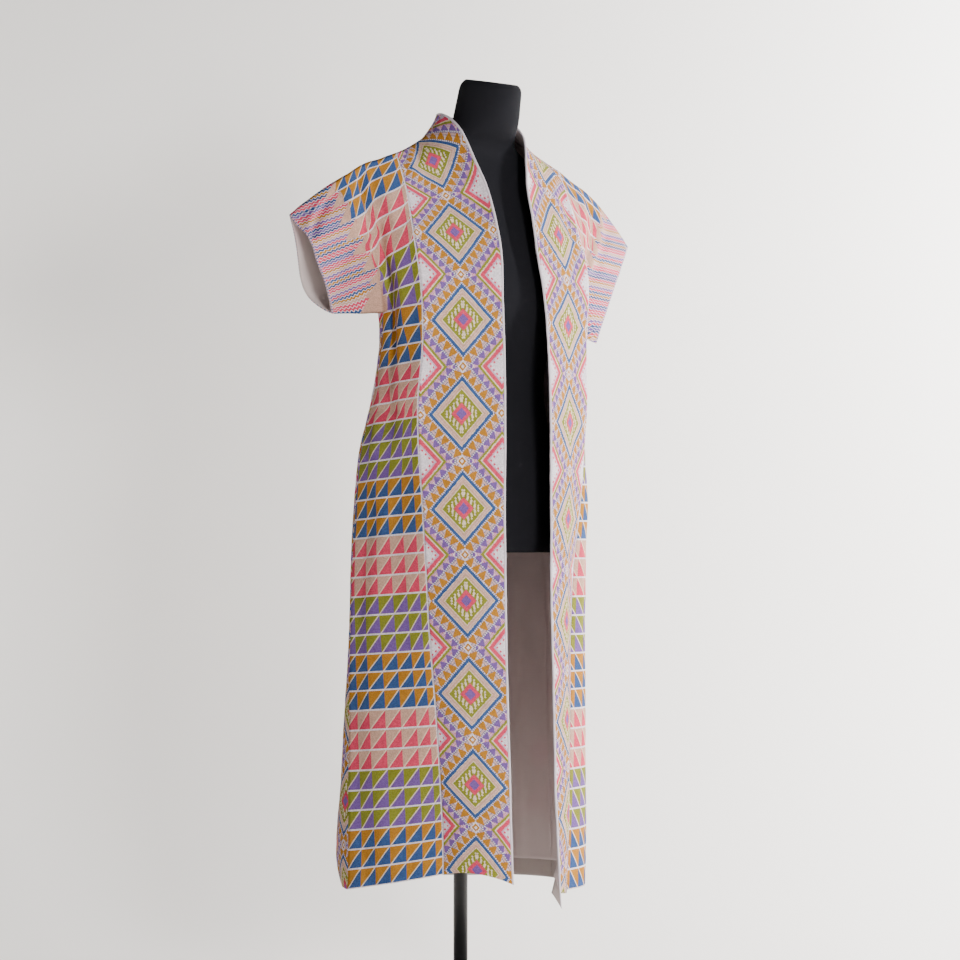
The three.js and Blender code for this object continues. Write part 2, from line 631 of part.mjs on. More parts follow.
const bandRight = { rows: bandGrid('right'), flip: true };
const bandLeft = { rows: bandGrid('left'), flip: false };
const sideRight = { rows: sideGrid('right'), flip: true };
const sideLeft = { rows: sideGrid('left'), flip: false };
const back = { rows: backGrid(), flip: true };
const collar = { rows: collarGrid(), flip: true };
const skin = meetings([bandRight, bandLeft, sideRight, sideLeft, back, collar]);
add('front_band_right', wallOf(bandRight, skin, skin, 0, CLOTH), 'band');
add('front_band_left', wallOf(bandLeft, skin, skin, 0, CLOTH), 'band');
add('front_side_right', wallOf(sideRight, skin, skin, 0, CLOTH), 'side');
add('front_side_left', wallOf(sideLeft, skin, skin, 0, CLOTH), 'side');
add('back', wallOf(back, skin, skin, 0, CLOTH), 'back');
add('neckband_back', wallOf(collar, skin, skin, 0, NECKBAND_WALL), 'band');
add('edge_binding', bindingOf(skin, bandRight, collar, bandLeft), 'binding');

// The inner layer: the turned-up hem is its lowest row and the lining is the rest.
const frontRight = { rows: frontGrid('right'), flip: true };
const frontLeft = { rows: frontGrid('left'), flip: false };
const innerGrids = [
  ['front_right', frontRight], ['front_left', frontLeft], ['back', back]];
const hems = innerGrids.map(([name, grid]) => [name, { ...grid, rows: grid.rows.slice(0, 2) }]);
const linings = innerGrids.map(([name, grid]) => [name, { ...grid, rows: grid.rows.slice(1) }]);
const inside = meetings([...hems, ...linings].map(([, grid]) => grid).concat([{ ...collar }]));
for (const [name, grid] of hems) {
  add(`hem_turnup_${name}`, wallOf(grid, skin, inside, CLOTH + LAYERS, LINING), 'back');
}
for (const [name, grid] of linings) {
  add(`lining_${name}`, wallOf(grid, skin, inside, CLOTH + LAYERS, LINING), 'lining');
}

add('dress_form', formOf(), 'form');
add('pole', poleOf(20 + SEAM, FORM[0].z - SEAM), 'metal');
add('base', baseOf(), 'metal');

export default coat;
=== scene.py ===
"""An open-front opera coat with embroidered bands, worn by a limbless dress form on a stand.

Built in millimetres in the row frame and scaled to metres as each mesh is made. The coat's front
faces -Y and its wearer's left is +X. The right half is worked out on +X and mirrored.
"""
import math

import bpy
import numpy as np
from mathutils import Matrix, Vector

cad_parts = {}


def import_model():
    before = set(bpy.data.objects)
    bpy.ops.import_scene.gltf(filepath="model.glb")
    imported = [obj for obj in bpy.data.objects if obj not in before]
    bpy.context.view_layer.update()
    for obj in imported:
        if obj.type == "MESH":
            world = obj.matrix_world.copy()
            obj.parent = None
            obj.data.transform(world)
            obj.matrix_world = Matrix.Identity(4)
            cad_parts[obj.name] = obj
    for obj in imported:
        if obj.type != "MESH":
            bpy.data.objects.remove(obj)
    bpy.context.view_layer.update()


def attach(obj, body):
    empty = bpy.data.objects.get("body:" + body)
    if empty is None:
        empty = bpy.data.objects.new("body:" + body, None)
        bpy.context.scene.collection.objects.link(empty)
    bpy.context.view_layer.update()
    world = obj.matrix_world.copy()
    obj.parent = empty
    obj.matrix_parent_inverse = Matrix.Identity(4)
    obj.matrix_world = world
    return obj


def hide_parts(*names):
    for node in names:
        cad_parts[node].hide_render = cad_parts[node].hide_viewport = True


# Lengths are in millimetres, apart from the room's, which are in metres.
MM = 0.001
HEM_Z = 212.0
UNDERARM_Z = 1090.0
TURN_UP = 28.0
BINDING = 3.0
SEAM = 0.3
OUTER_WALL = 1.3
LINING_DEPTH = 1.9
LINING_WALL = 0.5
MITRE_LIMIT = 1.6
SKIRT_ROWS = 190
YOKE_ROWS = 54
BAND_COLS = 30
SIDE_COLS = 34
SLEEVE_COLS = 30
NECK_COLS = 12
# The share of the shoulder's band that the neckband takes, and the columns of each body part.
COLLAR_SHARE = 0.2
COLLAR_COLS = int(round(COLLAR_SHARE * BAND_COLS))
FRONT_BODY = BAND_COLS + SIDE_COLS
BACK_BODY = NECK_COLS + BAND_COLS - COLLAR_COLS + SIDE_COLS
BOTH = ("right", "left")


# ---- tables ----
class Table:
    """Rows of numbers under named columns; reading a column gives a smooth curve through it."""

    def __init__(self, columns, rows):
        values = np.array(rows, float).T
        self.columns = dict(zip(columns.split(), values))
        self.keys = values[0]

    def read(self, name, at):
        keys = self.keys
        values = self.columns[name]
        count = len(keys)
        before = np.maximum(np.arange(count) - 1, 0)
        after = np.minimum(np.arange(count) + 1, count - 1)
        slopes = (values[after] - values[before]) / (keys[after] - keys[before])
        at = np.asarray(at, float)
        i = np.clip(np.searchsorted(keys, at) - 1, 0, count - 2)
        span = keys[i + 1] - keys[i]
        t = np.clip((at - keys[i]) / span, 0, 1)
        first = (2 * t**3 - 3 * t**2 + 1) * values[i] + (t**3 - 2 * t**2 + t) * span * slopes[i]
        last = (3 * t**2 - 2 * t**3) * values[i + 1] + (t**3 - t**2) * span * slopes[i + 1]
        return first + last

    def point(self, at):
        return np.stack([self.read(name, at) for name in "xyz"], -1)


# The body's section at each height. edge: front edge. seam: band to side panel. back: centre back.
BODY = Table("z edgeX edgeY seamX seamY bow backY power", [
    (212, 44.5, -187, 118, -109, 9, 155, 1.9),
    (300, 44, -182, 121, -110, 9, 156, 1.85),
    (400, 43, -177, 126, -109, 8, 149, 1.75),
    (500, 43.5, -173, 131, -105, 7, 142, 1.6),
    (600, 44, -170, 138, -101, 7, 135, 1.5),
    (700, 44.5, -168, 144, -100, 6, 129, 1.5),
    (800, 44.5, -167, 154, -103, 5, 121, 1.55),
    (880, 44, -167, 162, -105, 3, 106, 1.55),
    (945, 43, -166, 165, -108, 2, 88, 1.55),
    (1030, 42, -163, 160, -113, 1, 70, 1.6),
    (1090, 41, -159, 161, -114, 0, 64, 1.7),
])
SIDE = {
    "right": Table("z bendX bendY sideX sideY", [
        (212, 176, -62, 200, 20),
        (400, 176, -60, 196, 25),
        (600, 178, -45, 187, 32),
        (800, 174, -35, 176, 33),
        (880, 178, -45, 177, 18),
        (945, 176, -55, 171, 2),
        (1030, 172, -62, 165, -17),
        (1090, 173, -62, 166, -22),
    ]),
    "left": Table("z bendX bendY sideX sideY", [
        (212, 229, -94, 195, 12),
        (400, 226, -95, 190, 14),
        (600, 222, -94, 185, 14),
        (800, 214, -92, 178, 16),
        (880, 196, -80, 177, 10),
        (945, 182, -66, 172, -2),
        (1030, 174, -62, 166, -17),
        (1090, 173, -62, 166, -22),
    ]),
}
# How far each line of the cloth hangs above (+) or below (-) its level.
HANG = {
    "right": Table("z edge middle seam side", [
        (212, 25, 41, 38, 10),
        (370, 9, 15, 18, 3),
        (600, 10, 10, 10, 0),
        (940, 15, 13, 10, 0),
        (1090, 12, 11, 8, 0),
    ]),
    "left": Table("z edge middle seam side", [
        (212, -16, -8, -3, 0),
        (370, -9, -5, -2, 0),
        (600, 0, 0, 0, 0),
        (940, 0, 0, 0, 0),
        (1090, 2, 1, 0, 0),
    ]),
}
# The left front's lower corner folds back on itself below CURL_TOP.
CURL_TOP = 340.0
CURL = Table("share x z", [
    (0, 0, 0), (0.1, -14, 9), (0.2, -25, 17), (0.45, -13, 9), (0.72, -4, 3), (1, 0, 0),
])
# Above the underarm, rise runs from 0 to 1 at the shoulder line.
FRONT_EDGE = Table("rise x y z", [
    (0, 41, -159, 1090), (0.17, 38, -154, 1138), (0.33, 35, -145, 1185), (0.5, 36, -132, 1234),
    (0.65, 39, -115, 1283), (0.78, 49, -98, 1326), (0.89, 60, -80, 1370), (0.95, 62, -55, 1392),
    (1, 60, -30, 1402),
])
BAND_SEAM = Table("rise x y z", [
    (0, 161, -114, 1090), (0.15, 165, -113, 1133), (0.35, 168, -105, 1184),
    (0.55, 165, -90, 1232), (0.75, 162, -74, 1277), (1, 160, -47, 1331),
])
BAND_SINK = Table("rise right left", [(0, 2, 2), (0.4, -3, -1), (0.7, -9, -4), (1, -19, -9)])
SHOULDER = Table("x y z", [
    (160, -47, 1331), (190, -44, 1319), (216, -42, 1310), (250, -38, 1289), (280, -31, 1269),
    (312, -22, 1244), (333, -16, 1226),
])
LEFT_SHOULDER_FALL = 5.0
# The share of the shoulder line at which the sleeve begins, and the cuff's lowest point.
SLEEVE_START = 0.56
CUFF_LOW = (259.0, -22.0, 1074.0)
CUFF_DROOP = {"right": 9.0, "left": -9.0}
# How far the sleeve's front bellies out at the cuff, and a fold that runs along it.
SLEEVE_FRONT = {"right": 17.0, "left": 0.0}
SLEEVE_FOLD = {"right": 13.0, "left": 0.0}
SLEEVE_FOLD_AT = 0.74
SLEEVE_FOLD_WIDTH = 0.13
SLEEVE_FOLD_START = 0.7
# How far the yoke and the back of the cuff belly out.
YOKE_FRONT = 20.0
YOKE_BACK = 20.0
CUFF_BACK = 340.0
CUFF_BACK_TOP = {"right": 11.0, "left": 20.0}
# y and z of the middle of the neck's back, at the neckband's foot and top.
NECK_BASE = (42.0, 1358.0)
NECK_TOP = (12.0, 1404.0)
# Soft upright folds of the back skirt: where across the half, half width, depth, how far up.
BACK_FOLDS = [(0.62, 0.6, 9, 820), (1.45, 0.6, -7, 700), (2.2, 0.6, 8, 760)]
# The right side seam's lower end is drawn in: from where across, from what height, and how far.
TUCK_FROM, TUCK_TOP, TUCK_DEEP = 0.8, 330.0, 13.0
TUCK_TOWARD = (0.8, 0.6)
# The dress form's rings.
FORM = Table("z half front back power", [
    (729, 146, -114, 78, 2.2), (745, 149, -118, 81, 2.2), (800, 149, -120, 82, 2.2),
    (860, 144, -117, 72, 2.2), (920, 132, -112, 52, 2.2), (985, 120, -108, 38, 2.2),
    (1050, 128, -118, 42, 2.2), (1110, 136, -132, 44, 2.1), (1160, 138, -126, 42, 2),
    (1210, 138, -112, 38, 2), (1255, 136, -97, 28, 2), (1290, 132, -84, 12, 2),
    (1314.8, 124, -76, 0, 2), (1332.8, 108, -72, -6, 2), (1347.8, 82.5, -73, -8, 2),
    (1360.8, 64.5, -82, -8, 2), (1372, 56, -99, -8, 2), (1390, 52, -112, -11, 2),
    (1420, 49, -119, -20, 2), (1441, 47, -122, -28, 2), (1450, 42, -119, -36, 2),
])
FORM_TOP_TILT = 0.2


# ---- the coat's surface, as arrays: rows down the first axis, columns along the second ----
def hump(t):
    return 4 * t * (1 - t)


def mix(a, b, t):
    return a + (b - a) * t


def join(*parts):
    return np.stack(np.broadcast_arrays(*parts), -1)


def unit(v):
    return v / np.maximum(np.linalg.norm(v, axis=-1, keepdims=True), 1e-9)


def lerp(a, b, t):
    return a + (b - a) * np.asarray(t)[..., None]


def outward(start, end, up):
    return -unit(np.cross(up, end - start))


def hang(half, name, level):
    return HANG[half].read(name, level)


def body_line(half, name, level):
    """An upright line of the body: the front edge, the band's seam or the side seam."""
    table = SIDE[half] if name == "side" else BODY
    return join(table.read(name + "X", level), table.read(name + "Y", level),
                level + hang(half, name, level))


def yoke_line(table, half, name, rise):
    fade = hang(half, name, UNDERARM_Z) * (1 - rise) ** 2
    point = table.point(rise)
    point[..., 2] += fade
    return point


def cut_edge(finished, end):
    """Where the cloth ends, just inside its binding."""
    reach = np.linalg.norm(end - finished, axis=-1)
    return lerp(finished, end, (BINDING + SEAM) / reach)


def band_skirt(half, level, share):
    level = level[:, None]
    share = share[None, :]
    end = body_line(half, "seam", level)
    start = cut_edge(body_line(half, "edge", level), end)
    out = outward(start, end, np.array([0, 0, 1.0]))
    bow = BODY.read("bow", level) * hump(share)
    point = lerp(start, end, share) + out * bow[..., None]
    middle = (start[..., 2] + end[..., 2]) / 2 - level
    point[..., 2] += hump(share) * (hang(half, "middle", level) - middle)
    if half == "left":
        rolled = (np.maximum(CURL_TOP - level, 0) / (CURL_TOP - HEM_Z)) ** 1.5
        point[..., 0] += rolled * CURL.read("x", share)
        point[..., 2] += rolled * CURL.read("z", share)
    return point


def band_yoke(half, rise, share):
    rise = rise[:, None]
    share = share[None, :]
    end = yoke_line(BAND_SEAM, half, "seam", rise)
    start = cut_edge(yoke_line(FRONT_EDGE, half, "edge", rise), end)
    up = join(0 * rise, mix(0.3, 0.9, rise), 0 * rise + 1)
    sink = BAND_SINK.read(half, rise) * hump(share**0.62)
    return lerp(start, end, share) + outward(start, end, up) * sink[..., None]


def side_skirt(half, level, share):
    start = body_line(half, "seam", level)
    end = body_line(half, "side", level)
    bend = join(SIDE[half].read("bendX", level), SIDE[half].read("bendY", level),
                (start[..., 2] + end[..., 2]) / 2)
    near = ((1 - share) ** 2)[..., None]
    far = (share**2)[..., None]
    return start * near + bend * (1 - near - far) + end * far


def shoulder_point(half, share):
    x = mix(SHOULDER.keys[0], SHOULDER.keys[-1], share)
    fall = LEFT_SHOULDER_FALL * hump(share) if half == "left" else 0
    return join(x, SHOULDER.read("y", x), SHOULDER.read("z", x) - fall)


def underarm_line(half, share, low):
    """The lowest line of the yoke: the body's own line, then the sleeve's lower edge."""
    start = body_line(half, "side", np.array(UNDERARM_Z))
    end = CUFF_LOW + np.array([0, 0, CUFF_DROOP[half]])
    sleeve = lerp(start, end, np.maximum(share, 0))
    return np.where((share > 0)[..., None], sleeve, low)


def side_yoke(half, rise, across):
    """across runs from 0 at the band's seam over 1 at the side seam to 2 at the cuff."""
    rise, across = np.broadcast_arrays(rise[:, None], across[None, :])
    sleeve = across - 1
    level = np.full_like(across, UNDERARM_Z)
    low = underarm_line(half, sleeve, side_skirt(half, level, np.minimum(across, 1)))
    shoulder = np.where(sleeve <= 0, across * SLEEVE_START, mix(SLEEVE_START, 1, sleeve))
    point = lerp(low, shoulder_point(half, shoulder), rise)
    seam = yoke_line(BAND_SEAM, half, "seam", rise)
    bottom = body_line(half, "seam", np.array(UNDERARM_Z))
    straight = lerp(bottom, shoulder_point(half, np.array(0.0)), rise)
    hold = np.maximum(1 - across, 0) ** 2
    point = point + (seam - straight) * hold[..., None]
    on = np.maximum(sleeve, 0)
    depth = np.where(sleeve <= 0, YOKE_FRONT * across * (2 - across),
                     mix(YOKE_FRONT, SLEEVE_FRONT[half], on))
    away = (rise - SLEEVE_FOLD_AT) / SLEEVE_FOLD_WIDTH
    grown = np.maximum(across - SLEEVE_FOLD_START, 0) / (2 - SLEEVE_FOLD_START)
    fold = SLEEVE_FOLD[half] * np.exp(-away * away) * grown
    point[..., 1] -= depth * hump(rise) + fold * (1 - rise**6)
    return point


def back_skirt(half, level, across):
    """across runs from 0 at the centre back to 3 at the side seam."""
    level, across = np.broadcast_arrays(level, across)
    side = body_line(half, "side", level)
    turn = (1 - across / 3) * math.pi / 2
    power = 2 / BODY.read("power", level)
    deep = BODY.read("backY", level) - side[..., 1]
    out = np.where(across == 0, 0, np.abs(np.cos(turn)) ** power)
    point = join(side[..., 0] * out, side[..., 1] + deep * np.sin(turn) ** power,
                 mix(level, side[..., 2], across / 3))
    for at, wide, fold, top in BACK_FOLDS:
        off = np.minimum(np.abs(across - at) / wide, 1)
        fade = np.clip((top - level) / (top - HEM_Z), 0, 1)
        point[..., 1] += fold * fade * (1 - off * off) ** 2
    if half == "right":
        near = np.maximum(TUCK_TOP - level, 0) / (TUCK_TOP - HEM_Z)
        along = np.maximum(across - TUCK_FROM, 0) / (3 - TUCK_FROM)
        drawn = TUCK_DEEP * hump(along) * near**4
        point[..., :2] -= drawn[..., None] * TUCK_TOWARD
    return point


def round_neck(corner, y, z, turn):
    """From the middle of the back of the neck, at y and z, round to a corner of the front."""
    side, middle = np.sin(turn), np.cos(turn)
    return join(corner[..., 0] * side, mix(corner[..., 1], y, middle), mix(corner[..., 2], z, middle))


def back_top(half, across):
    """The back's upper edge: neck line, then the band's shoulder, then the sleeve's."""
    one = np.array([1.0])
    corner = band_yoke(half, one, np.array([COLLAR_SHARE]))[0, 0]
    neck = round_neck(corner, *NECK_BASE, np.minimum(across, 1) * math.pi / 2)
    share = mix(COLLAR_SHARE, 1, np.clip(across - 1, 0, 1))
    band = band_yoke(half, one, share)[0]
    along = across - 2
    share = np.where(across <= 3, along * SLEEVE_START, mix(SLEEVE_START, 1, across - 3))
    sleeve = shoulder_point(half, np.clip(share, 0, 1))
    point = np.where((across <= 1)[:, None], neck, band)
    return np.where((across > 2)[:, None], sleeve, point)


def back_yoke(half, rise, across):
    top = back_top(half, across)[None]
    rise, across = np.broadcast_arrays(rise[:, None], across[None, :])
    sleeve = across - 3
    level = np.full_like(across, UNDERARM_Z)
    low = underarm_line(half, sleeve, back_skirt(half, level, np.minimum(across, 3)))
    point = lerp(low, np.broadcast_to(top, low.shape), rise)
    on = np.maximum(sleeve, 0) ** 2
    cuff = CUFF_BACK * rise * (1 - rise) ** 3 + CUFF_BACK_TOP[half] * hump(rise)
    point[..., 1] += mix(YOKE_BACK * hump(rise), cuff, on)
    return point


LEVELS = np.concatenate([[HEM_Z], np.linspace(HEM_Z, UNDERARM_Z, SKIRT_ROWS + 1)[1:]])
RISES = np.linspace(0, 1, YOKE_ROWS + 1)
SHARES = np.linspace(0, 1, BAND_COLS + 1)
SIDES = np.linspace(0, 1, SIDE_COLS + 1)
SLEEVES = np.linspace(1, 2, SLEEVE_COLS + 1)[1:]
UNDERARM_ROW = len(LEVELS) - 1
TURNED_ROW = int(np.searchsorted(LEVELS, HEM_Z + TURN_UP))


def mirrored(half, points):
    return points * [-1, 1, 1] if half == "right" else points


def front_grid(half):
    """The whole front: band, side panel and the front of the sleeve."""
    across = np.concatenate([SIDES[1:], SLEEVES])
    skirt = np.concatenate([band_skirt(half, LEVELS, SHARES),
                            side_skirt(half, LEVELS[:, None], SIDES[None, 1:]),
                            np.full((len(LEVELS), len(SLEEVES), 3), np.nan)], 1)
    yoke = np.concatenate([band_yoke(half, RISES, SHARES), side_yoke(half, RISES, across)], 1)
    skirt[-1] = np.concatenate([skirt[-1, :-len(SLEEVES)], yoke[0, -len(SLEEVES):]])
    return mirrored(half, np.concatenate([skirt, yoke[1:]]))


def back_columns():
    shares = (SHARES[COLLAR_COLS:] - COLLAR_SHARE) / (1 - COLLAR_SHARE)
    return np.concatenate([np.linspace(0, 1, NECK_COLS + 1), 1 + shares[1:], 2 + SIDES[1:],
                           2 + SLEEVES])


def half_back(half, across):
    inner = across[across <= 3]
    skirt = np.full((len(LEVELS), len(across), 3), np.nan)
    skirt[:, :len(inner)] = back_skirt(half, LEVELS[:, None], inner[None])
    yoke = back_yoke(half, RISES, across)
    skirt[-1, len(inner):] = yoke[0, len(inner):]
    return mirrored(half, np.concatenate([skirt, yoke[1:]]))


def back_grid():
    across = back_columns()
    right = half_back("right", across)[:, ::-1]
    return np.concatenate([right[:, :-1], half_back("left", across)], 1)


def collar_grid():
    """The standing neckband, from the right shoulder round the back of the neck to the left."""
    shares = SHARES[:COLLAR_COLS + 1]
    down = shares / COLLAR_SHARE
    spans = np.linspace(0, 1, NECK_COLS + 1)
    turn = (spans * math.pi / 2)[:, None]
    y = mix(NECK_TOP[0], NECK_BASE[0], down)
    z = mix(NECK_TOP[1], NECK_BASE[1], down)
    sides = {}
    for half in BOTH:
        front = band_yoke(half, np.array([1.0]), shares)[0]
        sides[half] = mirrored(half, round_neck(front, y, z, turn))
    return np.concatenate([sides["right"][::-1][:-1], sides["left"]])


# ---- from grids to cloth ----
HALVES = (slice(None, -1), slice(1, None))
CORNERS = [(rows, columns) for rows in HALVES for columns in HALVES]


class Grid:
    """Rows and columns of points with outward normals; nan stands where there is no cloth."""

    def __init__(self, points, flip):
        self.points = points
        self.flip = flip
        self.there = ~np.isnan(points[..., 0])
        there = self.there
        self.cells = there[:-1, :-1] & there[:-1, 1:] & there[1:, 1:] & there[1:, :-1]
        self.normals = None
        self.mitre = None

    def raw_normals(self):
        p = self.points
        a, b, c, d = p[:-1, :-1], p[:-1, 1:], p[1:, 1:], p[1:, :-1]
        face = np.nan_to_num(np.cross(c - a, d - b)) * (-1 if self.flip else 1)
        face = np.where(self.cells[..., None], face, 0)
        total = np.zeros_like(p)
        for corner in CORNERS:
            total[corner] += face
        return total


def share_normals(grids):
    """Gives every grid its normals; where grids meet, both get the mean one and a mitre."""
    raws = [grid.raw_normals()[grid.there] for grid in grids]
    places = np.concatenate([np.round(grid.points[grid.there], 2) for grid in grids])
    _, group = np.unique(places, axis=0, return_inverse=True)
    group = group.ravel()
    own = unit(np.concatenate(raws))
    total = np.zeros((group.max() + 1, 3))
    np.add.at(total, group, own)
    mean = unit(total)[group]
    lean = np.sum(own * mean, -1)
    sums = np.zeros(group.max() + 1)
    counts = np.zeros(group.max() + 1)
    np.add.at(sums, group, lean)
    np.add.at(counts, group, 1)
    lean = (sums / counts)[group]
    mitre = mean * np.minimum(1 / np.maximum(lean, 0.01), MITRE_LIMIT)[:, None]
    start = 0
    for grid in grids:
        count = int(grid.there.sum())
        for name, values in (("normals", mean), ("mitre", mitre)):
            field = np.zeros_like(grid.points)
            field[grid.there] = values[start:start + count]
            setattr(grid, name, field)
        start += count


def arc_across(points):
    """Distance along each row from its first column, in millimetres."""
    steps = np.linalg.norm(np.diff(np.nan_to_num(points, nan=0.0), axis=1), axis=-1)
    steps[np.isnan(points[:, 1:, 0]) | np.isnan(points[:, :-1, 0])] = 0
    return np.concatenate([np.zeros((len(points), 1)), np.cumsum(steps, 1)], 1)


# ---- folds and creases, listed one by one ----
# Each is (across, height) to (across, height), half width, depth, and how much steeper its lower
# or outer flank is. Across is measured on the cloth from the front edge, in millimetres.
FRONT_CREASES = {
    "right": [
        (62, 1392, 88, 1316, 9, -5.0, 1.6),
        (88, 1350, 106, 1290, 12, 4.0, 1.2),
        (146, 1318, 158, 1060, 16, 4.0, 1.0),
        (198, 1310, 181, 1200, 9, -7.0, 1.6),
        (181, 1218, 196, 1136, 8, -8.5, 2.0),
        (192, 1152, 186, 1020, 10, -5.5, 1.5),
        (172, 1300, 166, 1190, 7, -3.0, 1.2),
        (218, 1290, 212, 1150, 13, 4.0, 1.2),
        (246, 1266, 300, 1190, 6, -9.0, 2.4),
        (238, 1286, 304, 1206, 9, 5.5, 1.2),
        (236, 1180, 262, 1110, 12, -3.0, 1.2),
        (142, 1004, 226, 1016, 7, -2.2, 1.2),
        (136, 972, 214, 962, 8, 2.2, 1.2),
        (142, 930, 232, 944, 8, -2.4, 1.2),
        (150, 892, 240, 880, 9, 1.8, 1.0),
        (158, 1150, 172, 940, 16, 2.5, 1.0),
        (186, 1100, 178, 860, 15, -3.0, 1.0),
        (214, 1060, 206, 780, 14, 3.0, 1.0),
        (150, 900, 140, 420, 20, -2.2, 1.0),
        (190, 820, 182, 230, 17, 2.6, 1.0),
        (232, 760, 226, 230, 16, -3.2, 1.0),
        (262, 700, 250, 230, 14, 3.0, 1.0),
        (40, 1120, 60, 900, 24, 1.6, 1.0),
        (96, 1060, 84, 700, 22, -1.6, 1.0),
        (58, 620, 66, 230, 26, 1.8, 1.0),
        (104, 520, 96, 240, 18, -1.6, 1.0),
    ],
    "left": [
        (60, 1390, 84, 1330, 10, -3.5, 1.4),
        (84, 1350, 60, 1200, 13, 2.5, 1.0),
        (110, 1290, 96, 1150, 11, -2.4, 1.2),
        (160, 1316, 170, 1180, 10, 3.0, 1.3),
        (186, 1308, 202, 1150, 9, -3.2, 1.4),
        (220, 1290, 214, 1150, 11, 3.5, 1.2),
        (250, 1250, 232, 1130, 12, -3.0, 1.2),
        (178, 1150, 186, 960, 14, -3.2, 1.1),
        (150, 1000, 158, 760, 18, 2.0, 1.0),
        (206, 980, 214, 640, 16, -3.0, 1.0),
        (176, 760, 182, 240, 18, 2.4, 1.0),
        (238, 700, 246, 225, 15, 3.4, 1.0),
        (214, 560, 220, 225, 13, -2.6, 1.0),
        (70, 1000, 78, 640, 22, -1.6, 1.0),
        (44, 760, 52, 380, 20, 1.6, 1.0),
        (96, 560, 92, 300, 18, 1.8, 1.0),
    ],
}
# On the back, across is measured from the centre back, toward the wearer's left.
BACK_CREASES = [
    (-196, 1120, -96, 1230, 13, -4.0, 1.3),
    (-188, 1090, -70, 1150, 15, 3.5, 1.2),
    (192, 1110, 80, 1215, 14, -4.0, 1.3),
    (184, 1080, 96, 1120, 15, 3.0, 1.2),
    (-40, 1290, -52, 1130, 16, 2.4, 1.0),
    (34, 1300, 58, 1160, 14, -2.4, 1.0),
    (-120, 1300, -150, 1200, 12, 3.0, 1.3),
    (128, 1300, 160, 1190, 12, -3.0, 1.3),
    (-30, 1120, -46, 860, 22, -3.0, 1.0),
    (52, 1100, 44, 820, 20, 2.6, 1.0),
    (-110, 1060, -122, 720, 20, 3.0, 1.0),
    (118, 1040, 132, 700, 20, -3.2, 1.0),
    (-14, 900, 6, 230, 26, 3.2, 1.0),
    (-78, 820, -92, 225, 22, -3.6, 1.0),
    (74, 840, 96, 225, 22, -3.4, 1.0),
    (-160, 800, -176, 225, 20, 3.4, 1.0),
    (150, 780, 172, 225, 20, 3.6, 1.0),
    (-214, 700, -222, 240, 15, -2.6, 1.0),
    (210, 720, 222, 240, 15, -2.8, 1.0),
]


# A crease bows by this share of its length, and tapers over this share at each end.
CREASE_BOW = 0.05
CREASE_TAPER = 0.32
CREASE_BLUNT = 0.45


def crease_field(across, height, creases):
    """How far the cloth stands out for a list of creases."""
    field = np.zeros_like(across)
    for a0, z0, a1, z1, wide, deep, steep in creases:
        long = math.hypot(a1 - a0, z1 - z0)
        ux, uz = (a1 - a0) / long, (z1 - z0) / long
        along = (across - a0) * ux + (height - z0) * uz
        off = (across - a0) * uz - (height - z0) * ux
        bent = off + CREASE_BOW * long * np.sin(along / long * math.pi)
        width = np.where(bent > 0, wide, wide / steep)
        inside = np.minimum(along, long - along) / (CREASE_TAPER * long)
        ends = np.clip(inside + CREASE_BLUNT, 0, 1)
        field += deep * np.exp(-(bent / width) ** 2) * ends * ends * (3 - 2 * ends)
    return field


# Slow waves and small puckers of the stitched cloth: direction, size, phase.
RIPPLES = [
    ((0.021, 0.013, 0.006), 0.55, 0.4), ((-0.017, 0.024, 0.011), 0.5, 2.1),
    ((0.043, -0.031, 0.019), 0.34, 1.2), ((0.03, 0.052, -0.027), 0.3, 4.4),
    ((0.11, 0.07, 0.035), 0.16, 0.9), ((-0.09, 0.12, 0.051), 0.14, 5.2),
    ((0.19, -0.13, 0.09), 0.09, 3.3), ((0.14, 0.21, -0.12), 0.08, 1.9),
    ((0.26, 0.17, 0.23), 0.05, 2.7), ((0.05, -0.06, 0.2), 0.09, 0.2),
]


RIPPLE_SWAY = 0.8
RIPPLE_SWAY_PITCH = 90.0


def ripple_field(points):
    field = np.zeros(points.shape[:-1])
    safe = np.nan_to_num(points)
    for direction, size, phase in RIPPLES:
        sway = RIPPLE_SWAY * np.sin(safe[..., 2] / RIPPLE_SWAY_PITCH)
        field += size * np.sin(safe @ np.array(direction) + phase + sway)
    return field


def fade_at(distance, reach):
    t = np.clip(distance / reach, 0, 1)
    return t * t * (3 - 2 * t)


CREASE_HOLD = 26.0


def crease(grid, across, creases, borders):
    """Moves the grid's points by its creases, which die away at its shared borders."""
    hold = fade_at(borders, CREASE_HOLD)
    shift = crease_field(across, grid.points[..., 2], creases) * hold + ripple_field(grid.points)
    grid.points = grid.points + grid.normals * shift[..., None]


FAR_OFF = 1000.0


def near_border(grid, columns, rows):
    """Distance in millimetres to the given columns and rows, measured on the grid."""
    p = np.nan_to_num(grid.points)
    far = np.full(p.shape[:2], FAR_OFF)
    for column, first, last in columns:
        gap = np.linalg.norm(p[first:last] - p[first:last, column][:, None], axis=-1)
        far[first:last] = np.minimum(far[first:last], gap)
    for row, first, last in rows:
        gap = np.linalg.norm(p[:, first:last] - p[row, first:last][None], axis=-1)
        far[:, first:last] = np.minimum(far[:, first:last], gap)
    return far


